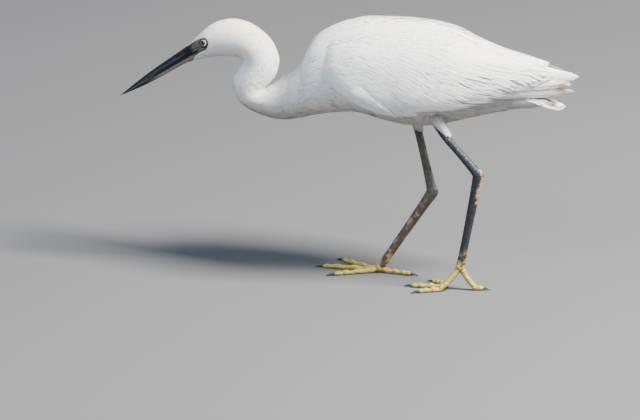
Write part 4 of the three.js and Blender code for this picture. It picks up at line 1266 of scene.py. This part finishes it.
def dress(tree, shader, colour, roughness, specular=0.5, bump=None):
    """Give a shader its colour and sheen, and a bump from a height, its strength and its depth in
    metres."""
    tree.links.new(colour, shader.inputs["Base Color"])
    shader.inputs["Roughness"].default_value = roughness
    shader.inputs["Specular IOR Level"].default_value = specular
    if bump:
        height, strength, depth = bump
        raised = node(tree, "ShaderNodeBump", {"Strength": strength, "Distance": depth, "Height": height})
        tree.links.new(raised.outputs["Normal"], shader.inputs["Normal"])


def ranged(tree, value, low, high, to_low=0.0, to_high=1.0):
    """The output of a map range with smooth ends."""
    inputs = {"Value": value, "From Min": low, "From Max": high, "To Min": to_low, "To Max": to_high}
    return node(tree, "ShaderNodeMapRange", inputs, interpolation_type="SMOOTHSTEP").outputs["Result"]


def mark(tree, name):
    """The output that reads one of a piece's marks."""
    return node(tree, "ShaderNodeAttribute", attribute_name=name).outputs["Fac"]


def effect_group(name, inputs, outputs):
    """An empty node group with named sockets, and its input and output nodes."""
    group = bpy.data.node_groups.new(name, "ShaderNodeTree")
    for direction, sockets in (("INPUT", inputs), ("OUTPUT", outputs)):
        for socket, kind in sockets.items():
            group.interface.new_socket(socket, in_out=direction, socket_type=kind)
    return group, group.nodes.new("NodeGroupInput").outputs, group.nodes.new("NodeGroupOutput")


def spot_group():
    """A soft round mask about a place: full inside the radius and gone past the radius and the softness."""
    inputs = {"Place": VECTOR, "Middle": VECTOR, "Radius": NUMBER, "Softness": NUMBER}
    group, given, result = effect_group("soft_spot", inputs, {"Mask": NUMBER})
    away = node(group, "ShaderNodeVectorMath", {0: given["Place"], 1: given["Middle"]}, operation="DISTANCE")
    edge = calculated(group, "ADD", given["Radius"], given["Softness"])
    mask = ranged(group, away.outputs["Value"], given["Radius"], edge, 1.0, 0.0)
    group.links.new(mask, result.inputs["Mask"])
    return group


def tint_group(spot):
    """The colour of the plumage by place: white that varies a little between warm and cool, cream on the
    crown and nape, painted shade of beige-grey low on the body where it is asked for, reaching higher
    towards the tail, and brown near a wing tip and the tail."""
    inputs = {"Place": VECTOR, "Shade_below": NUMBER}
    group, given, result = effect_group("egret_tint", inputs, {"Color": COLOUR})
    place = given["Place"]
    colour = mixed(group, noise(group, place, 34.0, 3.0), (0.885, 0.872, 0.85, 1), (0.85, 0.862, 0.872, 1))
    specks = ranged(group, noise(group, place, 260.0, 2.0), 0.3, 0.65, 0.55, 1.0)
    spots = {
        "crown": ((-0.112, 0, 0.264), 0.008, 0.034, (0.85, 0.72, 0.58, 1), 0.65),
        "nape": ((-0.089, 0, 0.247), 0.01, 0.03, (0.84, 0.70, 0.56, 1), 0.9),
        "wing tip": ((0.2225, -0.008, 0.2115), 0.004, 0.007, (0.42, 0.26, 0.14, 1), 0.85),
        "tail": ((0.210, -0.003, 0.1975), 0.004, 0.004, (0.12, 0.075, 0.045, 1), 0.9),
    }
    for middle, radius, softness, shade, strength in spots.values():
        inputs = {"Place": place, "Middle": middle, "Radius": radius, "Softness": softness}
        mask = node(group, "ShaderNodeGroup", inputs, node_tree=spot).outputs["Mask"]
        share = calculated(group, "MULTIPLY", calculated(group, "MULTIPLY", mask, specks), strength)
        colour = mixed(group, share, colour, shade)
    # Painted shade: where asked for, the plumage below a line that rises towards the tail is darkened to
    # beige-grey, standing in for the shade under the body.
    parts = node(group, "ShaderNodeSeparateXYZ", {0: place}).outputs
    height = calculated(group, "SUBTRACT", parts["Z"], ranged(group, parts["X"], 0.06, 0.2, 0.0, 0.026))
    belly = calculated(group, "MULTIPLY", ranged(group, height, 0.163, 0.206, 0.8, 0.0), given["Shade_below"])
    colour = mixed(group, belly, colour, (0.50, 0.46, 0.40, 1))
    group.links.new(colour, result.inputs["Color"])
    return group


def plumage_material(name, tint, painted_shade):
    """White plumage: tinted by place, with painted shade low on the body by the share given, each tuft a
    shade of its own, and fine barb lines on the vanes.
    """
    material, tree, shader = new_material(name)
    inputs = {"Place": own_place(tree), "Shade_below": painted_shade}
    tinted = node(tree, "ShaderNodeGroup", inputs, node_tree=tint).outputs["Color"]
    tone = ranged(tree, mark(tree, "tone"), 0.0, 1.0, 0.89, 1.0)
    grey = node(tree, "ShaderNodeCombineColor", {0: tone, 1: tone, 2: tone}).outputs[0]
    lines = calculated(tree, "SINE", calculated(tree, "MULTIPLY", mark(tree, "barb"), 9.0))
    dress(tree, shader, mixed(tree, 1.0, tinted, grey, "MULTIPLY"), 0.72, 0.25, (lines, 0.25, 0.0003))
    return material


def bill_material():
    """Blackish horn with a painted blue-grey highlight along the side of the upper half, a flesh-coloured
    lower base, a pale mouth edge and painted shade in the nostrils. Its streaks are noise drawn out along the
    bill."""
    material, tree, shader = new_material("bill_horn")
    slope = math.atan2(BODY[0, 1] - BILL["tip"][1], BODY[0, 0] - BILL["tip"][0])
    inputs = {"Vector": own_place(tree), "Rotation": (0, -slope, 0), "Scale": (30, 700, 700)}
    streaks = noise(tree, node(tree, "ShaderNodeMapping", inputs).outputs[0], 1.0, 4.0)
    colour = mixed(tree, streaks, (0.004, 0.005, 0.008, 1), (0.011, 0.014, 0.020, 1))
    # The blue-grey layer is a painted highlight.
    layers = (
        ("painted_sheen", 0.35, (0.075, 0.09, 0.115, 1)), ("flesh", 0.92, (0.25, 0.20, 0.175, 1)),
        # The near-black layer is painted shade in the nostrils.
        ("edge", 0.4, (0.30, 0.29, 0.25, 1)), ("nostril_shade", 1.0, (0.002, 0.002, 0.002, 1)),
    )
    for name, strength, shade in layers:
        colour = mixed(tree, calculated(tree, "MULTIPLY", mark(tree, name), strength, True), colour, shade)
    dress(tree, shader, colour, 0.42, 0.25, (streaks, 0.3, 0.0003))
    return material


def scale_group():
    """Small scales over a surface: their height from the distance to each cell's edge, and a shade for
    each."""
    outputs = {"Height": NUMBER, "Shade": NUMBER}
    group, given, result = effect_group("small_scales", {"Place": VECTOR, "Count": NUMBER}, outputs)
    inputs = {"Vector": given["Place"], "Scale": given["Count"]}
    cells = node(group, "ShaderNodeTexVoronoi", inputs)
    edges = node(group, "ShaderNodeTexVoronoi", inputs, feature="DISTANCE_TO_EDGE")
    shade = node(group, "ShaderNodeSeparateColor", {0: cells.outputs["Color"]}).outputs[0]
    group.links.new(ranged(group, edges.outputs["Distance"], 0.0, 0.25), result.inputs["Height"])
    group.links.new(shade, result.inputs["Shade"])
    return group


def scaly_material(name, scales, dark, light, marked, roughness):
    """Scaly skin between two shades, with broken patches of other colours where its marks say."""
    material, tree, shader = new_material(name)
    place = own_place(tree)
    small = node(tree, "ShaderNodeGroup", {"Place": place, "Count": 620.0}, node_tree=scales).outputs
    rough = noise(tree, place, 170.0, 4.0)
    colour = mixed(tree, small["Shade"], dark, light)
    colour = mixed(tree, calculated(tree, "MULTIPLY", mark(tree, "seam"), 0.6), colour, dark)
    for name_of_mark, shade, strength, (low, high) in marked:
        broken = calculated(tree, "MULTIPLY", mark(tree, name_of_mark), ranged(tree, rough, low, high))
        colour = mixed(tree, calculated(tree, "MULTIPLY", broken, strength), colour, shade)
    dress(tree, shader, colour, roughness, bump=(small["Height"], 0.5, 0.0004))
    return material


def bare_skin_material(scales):
    """Grey-olive skin with painted shade in the mouth crease and the fold in front of the eye, dark lid
    edges, and a pale streak beside the crease.
    """
    material, tree, shader = new_material("bare_skin_face")
    place = own_place(tree)
    small = node(tree, "ShaderNodeGroup", {"Place": place, "Count": 1500.0}, node_tree=scales).outputs
    blotches = ranged(tree, noise(tree, place, 240.0, 3.0), 0.3, 0.7)
    colour = mixed(tree, blotches, (0.055, 0.06, 0.05, 1), (0.12, 0.13, 0.10, 1))
    # The darkest layer is painted shade in the crease and fold, and the lids' own dark edges.
    layers = (
        ("flesh", (0.25, 0.20, 0.175, 1)), ("horn", (0.010, 0.013, 0.018, 1)),
        ("pale", (0.20, 0.22, 0.20, 1)), ("dark", (0.006, 0.006, 0.007, 1)),
    )
    for name, shade in layers:
        colour = mixed(tree, mark(tree, name), colour, shade)
    dress(tree, shader, colour, 0.5, 0.3, (small["Height"], 0.4, 0.0002))
    return material


def eye_material():
    """A wet eye: black pupil, pale yellow-green iris with fine rays, and a dark ring outside it."""
    material, tree, shader = new_material("eye_wet")
    angle = mark(tree, "from_pupil")
    rays = ranged(tree, mark(tree, "around"), -2.0, 2.0)
    colour = mixed(tree, rays, (0.30, 0.30, 0.16, 1), (0.46, 0.46, 0.31, 1))
    colour = mixed(tree, ranged(tree, angle, 0.60, 0.67), colour, (0.03, 0.028, 0.02, 1))
    colour = mixed(tree, ranged(tree, angle, 0.44, 0.48, 1.0, 0.0), colour, (0.004, 0.004, 0.005, 1))
    dress(tree, shader, colour, 0.12)
    shader.inputs["Coat Weight"].default_value = 1.0
    shader.inputs["Coat Roughness"].default_value = 0.02
    return material


def claw_material():
    """Dark horn with a fine grain."""
    material, tree, shader = new_material("claw_horn")
    grain = noise(tree, own_place(tree), 500.0, 3.0)
    dress(tree, shader, mixed(tree, grain, (0.012, 0.011, 0.01, 1), (0.07, 0.06, 0.05, 1)), 0.35)
    return material


# Stage


def studio():
    """A plain floor, a warm key light from high behind the tail, a cool wide fill in front and a soft
    world."""
    floor = bpy.data.meshes.new("floor")
    reach = 40
    corners = ((-reach, -reach, 0), (reach, -reach, 0), (reach, reach, 0), (-reach, reach, 0))
    floor.from_pydata(corners, [], [(0, 1, 2, 3)])
    ground = bpy.data.objects.new("floor", floor)
    bpy.context.scene.collection.objects.link(ground)
    material, _, shader = new_material("floor_pale")
    shader.inputs["Base Color"].default_value = (0.105, 0.109, 0.118, 1)
    shader.inputs["Roughness"].default_value = 0.9
    floor.materials.append(material)
    lights = {
        "key": ((1.7, -0.35, 2.2), 0.7, 450, (1.0, 0.94, 0.86)),
        "fill": ((-0.9, -2.3, 2.7), 1.6, 108, (0.72, 0.85, 1.0)),
    }
    bird = Vector((0, 0, 0.18))
    for name, (place, size, power, colour) in lights.items():
        lamp = bpy.data.lights.new(name, "AREA")
        lamp.size = size
        lamp.energy = power
        lamp.color = colour
        holder = bpy.data.objects.new(name, lamp)
        holder.location = place
        holder.rotation_euler = (bird - Vector(place)).to_track_quat("-Z", "Y").to_euler()
        bpy.context.scene.collection.objects.link(holder)
    world = bpy.data.worlds.new("soft_room")
    world.use_nodes = True
    background = world.node_tree.nodes["Background"].inputs
    background["Color"].default_value = (0.74, 0.82, 0.95, 1)
    background["Strength"].default_value = 0.31
    bpy.context.scene.world = world


def photo_camera():
    """The camera at the photo's viewing angle: 17 degrees round from square on, 18 above, rolled 1.6
    degrees, far off, with one millimetre at the bird for each of the photo's 640 columns."""
    turn, height, roll = (math.radians(angle) for angle in (17, 18, 1.6))
    distance, sensor, width = 18.0, 36.0, 0.64
    aim = Vector((-0.0355, 0, 0.0661))
    level = Vector((math.cos(turn), math.sin(turn), 0))
    back = Vector((math.sin(turn) * math.cos(height), -math.cos(turn) * math.cos(height), math.sin(height)))
    upright = back.cross(level)
    right = level * math.cos(roll) - upright * math.sin(roll)
    up = level * math.sin(roll) + upright * math.cos(roll)
    lens = bpy.data.cameras.new("camera")
    lens.sensor_width = sensor
    lens.lens = sensor * distance / width
    lens.clip_end = 100
    camera = bpy.data.objects.new("camera", lens)
    facing = Matrix((right, up, back)).transposed().to_4x4()
    camera.matrix_world = Matrix.Translation(aim + back * distance) @ facing
    bpy.context.scene.collection.objects.link(camera)
    bpy.context.scene.camera = camera


def finish(piece, material, slot, *replaced):
    """Give a piece its material and its place in the part, and let it take the place of solids."""
    piece.data.materials.append(material)
    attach(piece, "root")
    if replaced:
        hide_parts(*replaced)


photo_camera()
studio()
scales = scale_group()
tint = tint_group(spot_group())
# Two copies of the white plumage: the body's, skin and thighs included, has painted shade low down; the
# wings', mantle's and tail's has none.
white = plumage_material("plumage_white", tint, 0.0)
body_white_shaded_below = plumage_material("plumage_body_shaded_below", tint, 1.0)
horn = bill_material()
face = bare_skin_material(scales)
wet = eye_material()
claw = claw_material()
foot_patches = ("foot", (0.42, 0.34, 0.08, 1), 0.9, (0.42, 0.6))
black = scaly_material(
    "leg_black", scales, (0.009, 0.010, 0.014, 1), (0.024, 0.027, 0.036, 1),
    (("heel", (0.44, 0.31, 0.15, 1), 0.9, (0.35, 0.6)), foot_patches), 0.42)
# The pale layer of the olive leg is a painted highlight down the back of the shank.
olive = scaly_material(
    "leg_olive", scales, (0.045, 0.044, 0.036, 1), (0.10, 0.098, 0.08, 1),
    (("heel", (0.33, 0.31, 0.25, 1), 0.8, (0.3, 0.6)), ("mud", (0.062, 0.038, 0.026, 1), 0.9, (0.2, 0.4)),
     ("mud", (0.26, 0.19, 0.14, 1), 0.85, (0.52, 0.66)), foot_patches), 0.5)
yellow = scaly_material("toe_yellow", scales, (0.25, 0.19, 0.035, 1), (0.50, 0.41, 0.10, 1), (), 0.5)

flesh = ("head", "neck_upper", "neck_middle", "neck_lower", "torso", "thigh_left", "thigh_right")
finish(build_skin(), body_white_shaded_below, "plumage", *flesh)
stretches = {
    "head": (0.1, NAPE), "neck_high": (NAPE, NECK_BEND), "neck_low": (NECK_BEND, NECK_FOLD),
    "breast": (NECK_FOLD, BREAST), "belly": (BREAST, VENT), "rump": (VENT, RUMP),
}
for index, (stretch_name, ends) in enumerate(stretches.items()):
    finish(body_coat(f"coat_{stretch_name}", ends, 11 + index), body_white_shaded_below, "plumage")
finish(mantle_plumes("plumes_mantle", 31), white, "plumage")
finish(neck_wisps("neck_wisps", 33), white, "plumage")
finish(tail_feathers("tail_feathers", 32), white, "plumage", "tail")
finish(bill_half("bill_upper_horn", True), horn, "bill", "bill_upper")
finish(bill_half("bill_lower_horn", False), horn, "bill_lower", "bill_lower")
for name, leg in LEGS.items():
    side = leg["side"]
    finish(wing_feathers(f"wing_feathers_{name}", side, 40 + side), white, "plumage", f"wing_{name}")
    finish(wing_coat(f"wing_coat_{name}", side, 50 + side), white, "plumage")
    finish(thigh_coat(f"thigh_coat_{name}", leg, 60 + side), body_white_shaded_below, "plumage")
    finish(bare_skin(f"face_skin_{name}", side), face, "bare_skin", f"lore_{name}")
    finish(eyeball(f"eyeball_{name}", side), wet, "eye", f"eye_{name}")
    leg_finish = black if name == "left" else olive
    finish(leg_skin(f"leg_{name}", leg), leg_finish, "leg_skin", f"shank_{name}", f"tarsus_{name}")
    toes = [f"toe_{name}_{toe}" for toe in leg["toes"]]
    finish(foot_skin(f"foot_skin_{name}", leg), yellow, "toe_skin", f"foot_{name}", *toes)
    finish(claws(f"claws_{name}", leg), claw, "claw", *[f"claw_{name}_{toe}" for toe in leg["toes"]])
